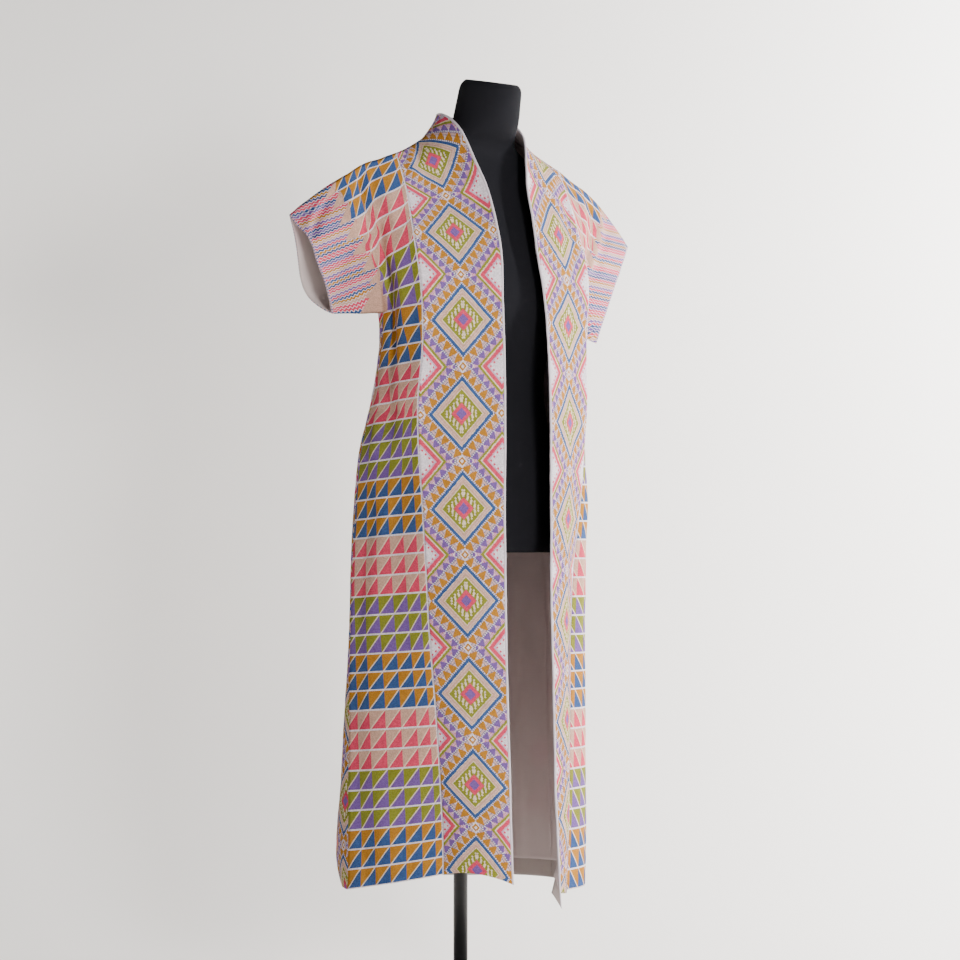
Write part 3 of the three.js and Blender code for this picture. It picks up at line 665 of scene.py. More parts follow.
# ---- meshes ----
def new_mesh(name, points, quads, uv_layers, material, caps=()):
    """A smooth mesh object from millimetre points, quads, end caps and per-point UV layers."""
    mesh = bpy.data.meshes.new(name)
    corners = np.concatenate([quads.ravel(), *caps]).astype(np.int32)
    sizes = np.array([4] * len(quads) + [len(cap) for cap in caps])
    mesh.vertices.add(len(points))
    mesh.vertices.foreach_set("co", (points * MM).ravel())
    mesh.loops.add(len(corners))
    mesh.loops.foreach_set("vertex_index", corners)
    mesh.polygons.add(len(sizes))
    mesh.polygons.foreach_set("loop_start", (np.cumsum(sizes) - sizes).astype(np.int32))
    mesh.update(calc_edges=True)
    for layer, values in uv_layers.items():
        data = mesh.uv_layers.new(name=layer).data
        data.foreach_set("uv", np.asarray(values, float)[corners].ravel())
    mesh.polygons.foreach_set("use_smooth", np.full(len(sizes), True))
    mesh.materials.append(material)
    mesh.validate()
    mesh.update()
    obj = bpy.data.objects.new(name, mesh)
    bpy.context.collection.objects.link(obj)
    return obj


def tube(name, rings, place, material, inward=False):
    """A closed solid from rings of points; place is its UV layer."""
    count, sides = rings.shape[:2]
    index = np.arange(count * sides).reshape(count, sides)
    around = np.roll(index, -1, axis=1)
    quads = np.stack([index[:-1], around[:-1], around[1:], index[1:]], -1).reshape(-1, 4)
    caps = [index[0][::-1], index[-1]]
    if inward:
        quads = quads[:, [0, 3, 2, 1]]
        caps = [cap[::-1] for cap in caps]
    return new_mesh(name, rings.reshape(-1, 3), quads, {"place": place}, material, caps)


def wall_quads(cells, index, count):
    """The outer face's quads, and the rims that join it to the inner face, count points later."""
    a, b, c, d = index[:-1, :-1], index[:-1, 1:], index[1:, 1:], index[1:, :-1]
    pad = np.pad(cells, 1)
    beside = [(pad[:-2, 1:-1], a, b), (pad[1:-1, 2:], b, c),
              (pad[2:, 1:-1], c, d), (pad[1:-1, :-2], d, a)]
    rims = []
    for other, p, q in beside:
        bare = cells & ~other
        rims.append(np.stack([q[bare], p[bare], p[bare] + count, q[bare] + count], -1))
    return np.stack([a, b, c, d], -1)[cells], rims


def wall(name, grid, rows, columns, near, far, uv_layers, material):
    """A closed thin wall over part of a grid, from depth near to depth far below its surface.

    near and far are numbers or fields of the whole grid; uv_layers are fields of the whole grid.
    """
    window = (rows, columns)
    cells = grid.cells[slice(rows.start, rows.stop - 1), slice(columns.start, columns.stop - 1)]
    used = np.zeros((rows.stop - rows.start, columns.stop - columns.start), bool)
    for corner in CORNERS:
        used[corner] |= cells
    count = int(used.sum())
    index = np.full(used.shape, -1)
    index[used] = np.arange(count)

    def layer(depth):
        depth = np.broadcast_to(depth, grid.there.shape)[window][..., None]
        return (grid.points[window] - grid.mitre[window] * depth)[used]

    outer, rims = wall_quads(cells, index, count)
    if grid.flip:
        outer = outer[:, ::-1]
        rims = [rim[:, ::-1] for rim in rims]
    quads = np.concatenate([outer, outer[:, ::-1] + count] + rims)
    layers = {key: np.concatenate([values[window][used]] * 2) for key, values in uv_layers.items()}
    return new_mesh(name, np.concatenate([layer(near), layer(far)]), quads, layers, material)


# ---- colours, as seen, and the maths of the stitched patterns ----
def seen(red, green, blue):
    """A colour given as it looks on a screen, 0 to 255, in the linear values Blender uses."""
    parts = [c / 255 for c in (red, green, blue)]
    return tuple(c / 12.92 if c <= 0.04045 else ((c + 0.055) / 1.055) ** 2.4 for c in parts) + (1,)


BLUE = seen(58, 84, 134)
MUSTARD = seen(178, 120, 42)
ROSE = seen(212, 70, 96)
BEIGE = seen(198, 158, 138)
PURPLE = seen(116, 86, 152)
OLIVE = seen(130, 132, 48)
CREAM = seen(228, 207, 181)
WHITE = seen(227, 216, 224)
PALE = seen(198, 168, 190)
PINKISH = seen(210, 172, 164)
NAVY = seen(62, 74, 120)
PIPING = seen(206, 196, 204)


def new_material(name, roughness):
    """A material and its one surface shader."""
    material = bpy.data.materials.new(name)
    material.use_nodes = True
    shader = next(n for n in material.node_tree.nodes if n.type == "BSDF_PRINCIPLED")
    shader.inputs["Roughness"].default_value = roughness
    return material, shader


def feed(tree, value, socket):
    """Gives a node's input a number, a colour, a Value or another node's output."""
    if isinstance(value, Value):
        tree.links.new(value.socket, socket)
    elif isinstance(value, (int, float, tuple)):
        socket.default_value = value
    else:
        tree.links.new(value, socket)


class Value:
    """A number in a material; arithmetic on it adds maths nodes."""

    def __init__(self, tree, socket):
        self.tree = tree
        self.socket = socket

    def math(self, operation, *others, clamp=False):
        node = self.tree.nodes.new("ShaderNodeMath")
        node.operation = operation
        node.use_clamp = clamp
        for i, value in enumerate((self,) + others):
            feed(self.tree, value, node.inputs[i])
        return Value(self.tree, node.outputs[0])

    def __add__(self, other):
        return self.math("ADD", other)

    __radd__ = __add__

    def __sub__(self, other):
        return self.math("SUBTRACT", other)

    def __rsub__(self, other):
        return self.math("MULTIPLY_ADD", -1.0, other)

    def __mul__(self, other):
        return self.math("MULTIPLY", other)

    __rmul__ = __mul__

    def __truediv__(self, other):
        return self.math("DIVIDE", other)

    def __lt__(self, other):
        return self.math("LESS_THAN", other)

    def __gt__(self, other):
        return self.math("GREATER_THAN", other)

    def __abs__(self):
        return self.math("ABSOLUTE")

    def floor(self):
        return self.math("FLOOR")

    def part(self):
        return self.math("FRACT")

    def low(self, other):
        return self.math("MINIMUM", other)

    def high(self, other):
        return self.math("MAXIMUM", other)

    def sine(self):
        return self.math("SINE")

    def clamped(self):
        return self.math("MULTIPLY", 1.0, clamp=True)

    def within(self, low, high):
        return (self > low) * (self < high)


class Cloth:
    """A fabric material under construction."""

    def __init__(self, name, roughness=0.95, sheen=0.02):
        self.material, self.shader = new_material(name, roughness)
        self.tree = self.material.node_tree
        self.shader.inputs["Sheen Weight"].default_value = sheen
        self.shader.inputs["Specular IOR Level"].default_value = 0.06

    def uv(self, layer):
        node = self.tree.nodes.new("ShaderNodeUVMap")
        node.uv_map = layer
        split = self.tree.nodes.new("ShaderNodeSeparateXYZ")
        self.tree.links.new(node.outputs[0], split.inputs[0])
        return Value(self.tree, split.outputs[0]), Value(self.tree, split.outputs[1])

    def mix(self, factor, first, second, kind="MIX"):
        """second where factor is 1, first where it is 0; both are colours or colour sockets."""
        node = self.tree.nodes.new("ShaderNodeMix")
        node.data_type = "RGBA"
        node.blend_type = kind
        for i, value in ((0, factor), (6, first), (7, second)):
            feed(self.tree, value, node.inputs[i])
        return node.outputs[2]

    def steps(self, at, stops):
        """A colour that changes in steps: stops are (start, colour), from 0 to 1."""
        node = self.tree.nodes.new("ShaderNodeValToRGB")
        ramp = node.color_ramp
        ramp.interpolation = "CONSTANT"
        ramp.elements.remove(ramp.elements[1])
        ramp.elements[0].position = stops[0][0]
        ramp.elements[0].color = stops[0][1]
        for start, colour in stops[1:]:
            ramp.elements.new(start).color = colour
        feed(self.tree, at, node.inputs[0])
        return node.outputs[0]

    def combined(self, kind, *parts):
        """One node output made from three parts, such as a vector or a grey."""
        node = self.tree.nodes.new(kind)
        for value, socket in zip(parts, node.inputs):
            feed(self.tree, value, socket)
        return node.outputs[0]

    def random(self, x, y, seed):
        """One random number for each whole-number place."""
        noise = self.tree.nodes.new("ShaderNodeTexWhiteNoise")
        noise.noise_dimensions = "3D"
        feed(self.tree, self.combined("ShaderNodeCombineXYZ", x, y, seed), noise.inputs["Vector"])
        return Value(self.tree, noise.outputs["Value"])

    def noise(self, x, y, scale, detail):
        node = self.tree.nodes.new("ShaderNodeTexNoise")
        node.inputs["Scale"].default_value = scale
        node.inputs["Detail"].default_value = detail
        feed(self.tree, self.combined("ShaderNodeCombineXYZ", x, y), node.inputs["Vector"])
        return Value(self.tree, node.outputs[0])

    def shade(self, colour, amount):
        """The colour made lighter or darker by an amount round 1."""
        grey = self.combined("ShaderNodeCombineColor", amount, amount, amount)
        return self.mix(1.0, colour, grey, "MULTIPLY")

    def finish(self, colour, height, distance):
        bump = self.tree.nodes.new("ShaderNodeBump")
        bump.inputs["Strength"].default_value = 0.6
        bump.inputs["Distance"].default_value = distance
        feed(self.tree, height, bump.inputs["Height"])
        feed(self.tree, colour, self.shader.inputs["Base Color"])
        feed(self.tree, bump.outputs[0], self.shader.inputs["Normal"])
        return self.material


STITCH = 1.6
STITCH_BUMP = 0.0005
WEAVE_BUMP = 0.00025
SEAM_LINE = 1.1


class Stitched(Cloth):
    """A cloth covered in stitches of one thread each; place is its millimetres across and along."""

    def __init__(self, name):
        super().__init__(name)
        self.x, self.y = self.uv("place")
        self.column = (self.x / STITCH).floor()
        self.row = (self.y / STITCH).floor()

    def lattice(self):
        """The diamonds of the layer motif, each stitch a little out of its place."""
        h, v = self.uv("motif")
        whole = self.random(self.column, self.row, 9.0) * 0.012 - 0.006
        return diamonds(self, h + whole, v + whole)

    def seam_line(self, colour, border):
        """White beside a seam; border counts millimetres from it."""
        return self.mix(border < SEAM_LINE, colour, WHITE)

    def sewn(self, colour):
        """The material in a colour, with each stitch raised and a little lighter or darker, and
        painted shade that darkens each stitch toward its edges.
        """
        inside = (self.x / STITCH).part() - 0.5
        upright = (self.y / STITCH).part() - 0.5
        crest = (inside * inside + upright * upright) * -2.4 + 1.0
        worn = self.noise(self.x, self.y, 0.05, 3.0) * 0.24 + 0.88
        thread = self.random(self.column, self.row, 3.0) * 0.34 + 0.8
        # Painted shade: the colour is darkened toward each stitch's edges and lightened at its crest,
        # standing in for shade between raised stitches.
        thread_tone_and_painted_shade = thread * worn * (crest * 0.28 + 0.76)
        return self.finish(self.shade(colour, thread_tone_and_painted_shade), crest, STITCH_BUMP)


# The diamonds' rings, from the centre out, and the two of them that hold rows of triangles.
INNER_TEETH = (0.84, 1.125)
OUTER_TEETH = (1.165, 1.37)
RINGS = [
    (0.0, PURPLE), (0.13, ROSE), (0.235, OLIVE), (0.51, CREAM), (0.535, BEIGE), (0.6, PINKISH),
    (0.64, BEIGE), (0.67, CREAM), (0.69, BLUE), (0.795, WHITE), (INNER_TEETH[0], PINKISH),
    (INNER_TEETH[1], WHITE), (OUTER_TEETH[0], PALE), (OUTER_TEETH[1], OLIVE),
    (1.45, CREAM), (1.49, ROSE), (1.61, PALE), (1.66, WHITE),
]
BEATS = 3.5


# In the patterns below the bare numbers are places on a motif's own scale: rings' radii and teeth in
# half diamonds or beats, and parts of a triangle's width and height.
def triangle_row(cloth, colour, r, beat, ring, shade, ground):
    """A row of upright triangles on a checked ground, between two rings."""
    inner, outer = ring
    rise = (r - inner) / (outer - inner)
    tooth = abs(beat.part() - 0.5) * 2.0
    here = r.within(inner, outer)
    check = ((beat * 6.0).part() < 0.55) * ((rise * 3.0 + 0.4).part() < 0.5)
    colour = cloth.mix(here * check, colour, ground)
    colour = cloth.mix(here * (rise < 1.12 - tooth), colour, shade)
    return cloth.mix(here * (tooth > 0.93) * (rise < 0.6), colour, WHITE)


def diamonds(cloth, h, v):
    """The diamond lattice. h and v are in half diamonds; a blue diamond sits at every even v."""
    across = abs(((h + 1.0) / 2.0).part() * 2.0 - 1.0)
    along = abs(((v + 1.0) / 2.0).part() * 2.0 - 1.0)
    r = across + along
    w = across - along
    colour = cloth.steps(r * 0.5, [(start / 2, shade) for start, shade in RINGS])
    tooth = ((w * 6.0 + r * 3.0).part() < 0.46) * r.within(0.26, 0.385)
    root = ((w * 6.0 + 0.35).part() < 0.3) * r.within(0.38, 0.44)
    colour = cloth.mix(tooth.high(root), colour, CREAM)
    beat = w * BEATS
    dash = (beat * 4.0).part() < 0.42
    colour = cloth.mix(dash * r.within(0.8, 0.84), colour, NAVY)
    colour = cloth.mix(dash * r.within(1.125, 1.165), colour, NAVY)
    colour = triangle_row(cloth, colour, r, beat, INNER_TEETH, MUSTARD, BLUE)
    colour = triangle_row(cloth, colour, r, beat + 0.5, OUTER_TEETH, PURPLE, ROSE)
    spots = ((w * 6.0).part() < 0.45) * r.within(1.675, 1.735)
    colour = cloth.mix(spots, colour, ROSE)
    crossing = (across + abs(along - 1.0)).low(abs(across - 1.0) + along)
    colour = cloth.mix(crossing < 0.13, colour, WHITE)
    colour = cloth.mix(crossing < 0.1, colour, MUSTARD)
    return cloth.mix(crossing < 0.045, colour, WHITE)


def band_cloth(name):
    """motif: half diamonds across and along. border: millimetres from the band's seam."""
    cloth = Stitched(name)
    border, _ = cloth.uv("border")
    return cloth.sewn(cloth.seam_line(cloth.lattice(), border))


GROUPS_STRONG = [(0.0, BLUE), (1 / 3, PURPLE), (2 / 3, ROSE)]
GROUPS_LIGHT = [(0.0, MUSTARD), (1 / 3, OLIVE), (2 / 3, BEIGE)]
GROUP_ROWS = 9.0
THREADS = [(0.0, ROSE), (0.2, MUSTARD), (0.34, PURPLE), (0.5, ROSE), (0.66, BLUE), (0.8, BEIGE),
           (0.9, NAVY)]


def triangles(cloth, units, rows):
    """Rows of paired triangles; three rows share their two colours."""
    group = (rows / GROUP_ROWS).part()
    strong = cloth.steps(group, GROUPS_STRONG)
    light = cloth.steps(group, GROUPS_LIGHT)
    x = 1.0 - units.part()
    y = rows.part()
    colour = cloth.mix(y > x * 0.96 + 0.03, strong, light)
    colour = cloth.mix(abs(y - x) < 0.045, colour, CREAM)
    colour = cloth.mix((y < 0.05) + (y > 0.965), colour, WHITE)
    return colour


WAVE_TURN = 0.8
WAVE_RISE = 0.24
WAVE_COVER = 0.76
THREAD_STEP = 0.3819


def waves(cloth, x, line):
    """Fine wavy lines of many colours on white; line counts them."""
    wavy = line + (x * WAVE_TURN).sine() * WAVE_RISE
    colour = cloth.steps((wavy.floor() * THREAD_STEP).part(), THREADS)
    return cloth.mix(wavy.part() > WAVE_COVER, colour, WHITE)


# Row by row the sleeve's pattern begins a step further out, past a plain gap; the yoke's rows
# count on from YOKE_ROW.
SLEEVE_STEP = 7.5
GAP_WIDTH = 22.0
YOKE_ROW = 30
CUFF_HEM = 2.6
CUFF_REPEAT = 7.0
CUFF_STITCHES = [(0.0, NAVY), (0.22, WHITE), (0.45, ROSE), (0.62, WHITE), (0.8, PURPLE)]


def cuff_edge(cloth, colour, y):
    """The cuff's edge, oversewn in dark, white and pink; the layer counts millimetres from it."""
    cuff, _ = cloth.uv("cuff")
    thread = cloth.steps((y / CUFF_REPEAT).part(), CUFF_STITCHES)
    return cloth.mix(cuff < CUFF_HEM, colour, thread)


def side_cloth(name):
    """motif: triangle units and rows. sleeve: wavy lines, and millimetres past the triangles."""
    cloth = Stitched(name)
    units, rows = cloth.uv("motif")
    line, sleeve = cloth.uv("sleeve")
    edge, low = cloth.uv("border")
    step = rows.floor() * -SLEEVE_STEP + sleeve
    gap = (step < (1.0 - rows.part()) * GAP_WIDTH).high(low > step)
    wavy = cloth.mix(gap, waves(cloth, cloth.x, line), BEIGE)
    colour = cloth.mix((step > 0.0) * (rows > float(YOKE_ROW)), triangles(cloth, units, rows), wavy)
    return cloth.sewn(cuff_edge(cloth, cloth.seam_line(colour, edge), cloth.y))


def back_cloth(name):
    """motif: half diamonds. sleeve: wavy lines, and where they begin."""
    cloth = Stitched(name)
    line, sleeve = cloth.uv("sleeve")
    colour = cloth.mix(sleeve > 0.0, cloth.lattice(), waves(cloth, cloth.x, line))
    return cloth.sewn(cuff_edge(cloth, colour, cloth.y))


def plain_cloth(name, colour, roughness, weave, blotch=None, sheen=0.04):
    """A plain woven cloth; blotch is a second colour that shows through in faint patches."""
    cloth = Cloth(name, roughness, sheen)
    x, y = cloth.uv("place")
    turn = 2 * math.pi / weave
    pick = ((x * turn).sine() + (y * turn).sine()) * 0.25 + 0.5
    tone = cloth.noise(x, y, 0.012, 3.0) * 0.22 + 0.89
    if blotch:
        patch = ((cloth.noise(x, y + 400.0, 0.009, 1.0) - 0.56) * 5.0).clamped()
        colour = cloth.mix(patch * 0.5, colour, blotch)
    return cloth.finish(cloth.shade(colour, tone), pick, WEAVE_BUMP)


def metal(name):
    material, shader = new_material(name, 0.42)
    shader.inputs["Base Color"].default_value = seen(18, 18, 19)
    return material


# ---- where the patterns lie ----
DIAMOND_HALF = 62.0
# Heights of the blue diamonds' centres on each band's middle line.
DIAMOND_CENTRES = {
    "right": [259, 384, 518, 657, 794, 935, 1076, 1209, 1321],
    "left": [332, 474, 624, 780, 928, 1077, 1218],
}
DIAMOND_PITCH = {"right": 138.0, "left": 149.0}
# The triangles' row lines: skirt levels, then rises, against the count of rows.
ROWS_BY_LEVEL = ([212, 366, 458, 518, 573, 660.5, 749, 806.5, 891, 949, 1005, 1060, 1090],
                 [0, 5, 8, 10, 12, 15, 18, 20, 23, 25, 27, 29, 30])
ROWS_BY_RISE = {
    "right": ([0, 0.12, 0.238, 0.36, 0.5, 0.62, 0.752, 0.872, 0.955, 1],
              [30, 31, 32, 33, 34, 35, 36, 37, 38, 38.6]),
    "left": ([0, 0.16, 0.34, 0.52, 0.63, 0.74, 0.86, 0.95, 1],
             [30, 31, 32, 33, 34, 35, 36, 37, 37.5]),
}
# Beyond the right yoke's deep fold the rows sit this much lower, in rows.
FOLD_DROP = 0.3
FOLD_AT = 52.0
FOLD_SOFT = 24.0
# Beside the right yoke's seam the rows rise by this much, in rows, over so many millimetres.
SEAM_RISE = 0.18
SEAM_RISE_REACH = 8.0
# Where the units of the right side's rows begin, in millimetres from the band's seam.
UNITS = Table("row u0 u1 u2 u3 u4 u5", [
    [0, 11, 31, 56, 81, 108, 134], [12, 11, 31, 56, 81, 108, 134],
    [20, 14, 39, 64, 88, 112, 135], [22.4, 13, 32, 56, 79, 102, 125],
    [24.4, 10, 26, 43, 66, 94, 118], [25.3, 5, 21, 39, 62, 86, 110],
    [26.3, -3, 18, 42, 70, 98, 122], [27.3, 1, 24, 52, 78, 100, 122],
    [29.3, 7, 38, 58, 77, 98, 120], [31, 12, 40, 58, 77, 96, 115],
    [34, 8, 36, 59, 79, 99, 120], [39, 8, 36, 59, 79, 99, 120],
])
UNIT_WIDTH = 24.5
FIRST_UNIT = 0.45
# Where the triangles stop and the sleeve's wavy lines begin, row by row from the thirtieth.
SLEEVE_EDGE = {
    "right": ([30, 31, 32, 33, 34, 35, 36, 37, 38], [82, 82, 82, 80, 85, 94, 104, 110, 118]),
    "left": ([30, 31, 32, 33, 34, 35, 36, 37, 38], [78, 78, 79, 80, 84, 90, 98, 105, 112]),
}
# The plain patch beside the underarm, in millimetres past the triangles.
GUSSET = ([30, 31, 32, 33, 33.5], [56, 34, 12, 2, -5])
YOKE_LENGTH = 250.0
WAVE_PITCH = 4.1
WAVE_SLOPE = {"right": 0.42, "left": 0.05}
# Low on the sleeve and near the body the wavy lines slope this much more.
WAVE_SLOPE_LOW = 0.1
WAVE_LOW, WAVE_LOW_SOFT = 1120.0, 40.0
WAVE_NEAR, WAVE_NEAR_SOFT = 250.0, 50.0
# Any distance from an edge that is too far for its line to show.
NO_EDGE = 100.0
# Millimetres along the back for each half diamond, and where the neckband's lattice begins.
BACK_HALF_PITCH = 69.0
NECKBAND_START = 0.3


def on_rows(values, grid):
    return np.broadcast_to(np.asarray(values)[:, None], grid.there.shape)


def row_millimetres():
    return np.concatenate([LEVELS - HEM_Z, UNDERARM_Z - HEM_Z + RISES[1:] * YOKE_LENGTH])


def row_count(half, seam):
    """The triangles' rows over the whole front; seam is the distance from the band's seam."""
    level = np.interp(LEVELS, *ROWS_BY_LEVEL)
    rise = np.interp(RISES[1:], *ROWS_BY_RISE[half])
    rows = np.concatenate([level, rise])[:, None] + 0 * seam
    if half == "right":
        yoke = np.clip((rows - YOKE_ROW - 1) / 2, 0, 1)
        rows = rows + FOLD_DROP * yoke * fade_at(seam - FOLD_AT, FOLD_SOFT)
        rows = rows - SEAM_RISE * yoke * np.exp(-np.abs(seam) / SEAM_RISE_REACH)
    return rows


def unit_count(half, seam, rows):
    if half == "left":
        return seam / UNIT_WIDTH - FIRST_UNIT
    starts = np.stack([UNITS.read(f"u{i}", rows) for i in range(6)])
    units = (seam - starts[0]) / (starts[1] - starts[0])
    for i in range(1, 6):
        following = starts[i + 1] - starts[i] if i < 5 else UNIT_WIDTH
        units = np.where(seam > starts[i], i + (seam - starts[i]) / following, units)
    return units


def distance_along(points):
    """Distance along a line of points from its first, in millimetres."""
    return np.cumsum(np.r_[0, np.linalg.norm(np.diff(points, axis=0), axis=1)])


def diamond_rows(half, middle):
    """The lattice coordinate of each row, from the heights of the band's middle line."""
    length = distance_along(middle)
    centres = np.interp(DIAMOND_CENTRES[half], middle[:, 2], length)
    pitch = DIAMOND_PITCH[half]
    marks = np.concatenate([[centres[0] - 2 * pitch], centres, [centres[-1] + 2 * pitch]])
    counts = np.concatenate([[-4], 2 * np.arange(len(centres)), [2 * len(centres) + 2]])
    return np.interp(length, marks, counts)


def wave_lines(half, grid):
    p = np.nan_to_num(grid.points)
    out = np.abs(p[..., 0])
    low = np.clip((WAVE_LOW - p[..., 2]) / WAVE_LOW_SOFT, 0, 1)
    near = np.clip((WAVE_NEAR - out) / WAVE_NEAR_SOFT, 0, 1)
    return (p[..., 2] + (WAVE_SLOPE[half] + WAVE_SLOPE_LOW * low * near) * out) / WAVE_PITCH


def from_cuff(arc):
    """Millimetres from the cuffs' edges, by the arc across; far from one on the body's rows."""
    right_end = arc.max(axis=1)[:, None] - arc
    left_end = arc - arc.min(axis=1)[:, None]
    near = np.where(arc < 0, left_end, right_end)
    near[:UNDERARM_ROW] = NO_EDGE
    return np.stack([near, 0 * arc], -1)


def front_fields(half, grid):
    arc = arc_across(grid.points)
    seam = arc[:, BAND_COLS][:, None]
    place = np.stack([arc, on_rows(row_millimetres(), grid)], -1)
    middle = grid.points[:, BAND_COLS // 2]
    lattice = on_rows(diamond_rows(half, middle), grid)
    band = np.stack([(arc - seam / 2) / DIAMOND_HALF, lattice], -1)
    past = arc - seam
    rows = row_count(half, past)
    side = np.stack([unit_count(half, past, rows), rows], -1)
    levels, edges = SLEEVE_EDGE[half]
    smooth = np.interp(rows, levels, edges) - SLEEVE_STEP * rows
    sleeve = np.stack([wave_lines(half, grid), past - smooth - SLEEVE_STEP / 2], -1)
    gusset = np.interp(rows, *GUSSET)
    return {"arc": arc, "place": place, "band": band, "side": side, "sleeve": sleeve,
            "band_border": np.stack([seam - arc, 0 * arc], -1),
            "side_border": np.stack([past, gusset], -1), "cuff": from_cuff(arc)}


def middle_out(points):
    """Distance along each row from its middle column, positive to the left."""
    arc = arc_across(points)
    return arc - arc[:, points.shape[1] // 2][:, None]


BACK_SLEEVE = 215.0
BACK_SLEEVE_DROP = 15.0


def back_fields(grid):
    arc = middle_out(grid.points)
    rows = on_rows(row_millimetres(), grid)
    p = np.nan_to_num(grid.points)
    lines = np.where(p[..., 0] < 0, wave_lines("right", grid), wave_lines("left", grid))
    past = np.where(p[..., 2] > UNDERARM_Z - BACK_SLEEVE_DROP, np.abs(arc) - BACK_SLEEVE, -1.0)
    return {"arc": arc, "place": np.stack([arc, rows], -1),
            "motif": np.stack([arc / DIAMOND_HALF, rows / BACK_HALF_PITCH], -1),
            "sleeve": np.stack([lines, past], -1), "cuff": from_cuff(arc)}


# ---- the coat ----
# Soft waves of the lining: turn per millimetre across and up, size, phase.
LINING_WAVES = [(0.071, 0.0021, 1.0, 0.4), (0.153, -0.003, 0.6, 1.7), (0.29, 0.011, 0.35, 0.0)]
LINING_FULL = {"front": 0.45, "back": 1.5}
LOOSE_FROM = UNDERARM_Z - 150
LOOSE_OVER = 500.0
SEAM_HOLD = 45.0
# How far the lining is pushed in by the turned-up hem's edge, and over how much height.
TURN_UP_THICK = 1.0
TURN_UP_EASE = 14.0
TURN_UP_OUTER = LINING_DEPTH - 0.3
TURN_UP_INNER = LINING_DEPTH + 0.5


def side_seams(part, grid):
    """The grid's columns on side seams, each with its first and last row."""
    middle = grid.points.shape[1] // 2
    columns = [middle - BACK_BODY, middle + BACK_BODY] if part == "back" else [FRONT_BODY]
    return [(column, 0, UNDERARM_ROW + 1) for column in columns]


def lining_wrinkles(part, grid, arc):
    """How much deeper the lining hangs than the cloth's back, in millimetres; not at a seam."""
    z = np.nan_to_num(grid.points)[..., 2]
    waviness = sum(size * (1 + np.sin(arc * across + z * up + phase))
                 for across, up, size, phase in LINING_WAVES)
    loose = np.clip((LOOSE_FROM - z) / LOOSE_OVER, 0, 1)
    held = np.clip(near_border(grid, side_seams(part, grid), []) / SEAM_HOLD, 0, 1)
    return waviness * LINING_FULL[part] * loose * held


def own(obj, node):
    """Puts an object on the root body and hides the modelled piece that it stands in for."""
    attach(obj, "root")
    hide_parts(node)


def declare(obj, node):
    """The same for a cloth."""
    own(obj, node)


def build_skin():
    """The outer cloth's grids, creased, with normals shared where they meet."""
    skin = {half: Grid(front_grid(half), half == "right") for half in BOTH}
    skin["back"] = Grid(back_grid(), True)
    skin["collar"] = Grid(collar_grid(), True)
    share_normals(list(skin.values()))
    for half in BOTH:
        grid = skin[half]
        last = grid.points.shape[1]
        tops = [(-1, 0, last), (UNDERARM_ROW, FRONT_BODY, last)]
        borders = near_border(grid, side_seams("front", grid), tops)
        crease(grid, arc_across(grid.points), FRONT_CREASES[half], borders)
    back = skin["back"]
    seams = side_seams("back", back)
    last = back.points.shape[1]
    tops = [(-1, 0, last), (UNDERARM_ROW, 0, seams[0][0] + 1), (UNDERARM_ROW, seams[1][0], last)]
    crease(back, middle_out(back.points), BACK_CREASES, near_border(back, seams, tops))
    collar = skin["collar"]
    level = np.zeros(collar.there.shape)
    crease(collar, level, [], level)
    share_normals(list(skin.values()))
    return skin


def cloth_part(name, grid, rows, columns, depths, fields, layers, look):
    """A wall between two depths, with the UV layers that its look reads from the fields."""
    values = {layer: fields[field] for layer, field in layers.items()}
    return wall(f"{name}.cloth", grid, rows, columns, *depths, values, look)


def build_inside(part, name, grid, fields, looks):
    """The lining and the turned-up hem of a front or the back."""
    count, width = grid.there.shape
    first = 0 if part == "front" else width // 2 - BACK_BODY
    last = side_seams(part, grid)[-1][0]
    height = on_rows(row_millimetres(), grid)
    over = TURN_UP_THICK * np.clip(1 - (height - TURN_UP) / TURN_UP_EASE, 0, 1)
    deep = LINING_DEPTH + lining_wrinkles(part, grid, fields["arc"]) + over
    layers = {"place": "place"}
    lining = cloth_part(f"lining_{name}", grid, slice(TURNED_ROW - 1, count), slice(0, width),
                        (deep, deep + LINING_WALL), fields, layers, looks["lining"])
    hem = cloth_part(f"hem_turnup_{name}", grid, slice(0, TURNED_ROW + 1), slice(first, last + 1),
                     (TURN_UP_OUTER, TURN_UP_INNER), fields, layers, looks["turnup"])
    return lining, hem


OUTER = (0.0, OUTER_WALL)


def build_front(half, grid, looks):
    fields = front_fields(half, grid)
    count, width = grid.there.shape
    rows = slice(0, count)
    band, side, name = f"front_band_{half}", f"front_side_{half}", f"front_{half}"
    obj = cloth_part(band, grid, rows, slice(0, BAND_COLS + 1), OUTER, fields,
                     {"place": "place", "motif": "band", "border": "band_border"}, looks["band"])
    declare(obj, band)
    obj = cloth_part(side, grid, rows, slice(BAND_COLS, width), OUTER, fields,
                     {"place": "place", "motif": "side", "sleeve": "sleeve",
                      "border": "side_border", "cuff": "cuff"}, looks["side"])
    declare(obj, side)
    lining, hem = build_inside("front", name, grid, fields, looks)
    declare(lining, f"lining_{name}")
    declare(hem, f"hem_turnup_{name}")


def build_back(grid, looks):
    fields = back_fields(grid)
    count, width = grid.there.shape
    obj = cloth_part("back", grid, slice(0, count), slice(0, width), OUTER, fields,
                     {"place": "place", "motif": "motif", "sleeve": "sleeve", "cuff": "cuff"},
                     looks["back"])
    declare(obj, "back")
    lining, hem = build_inside("back", "back", grid, fields, looks)
    declare(lining, "lining_back")
    declare(hem, "hem_turnup_back")


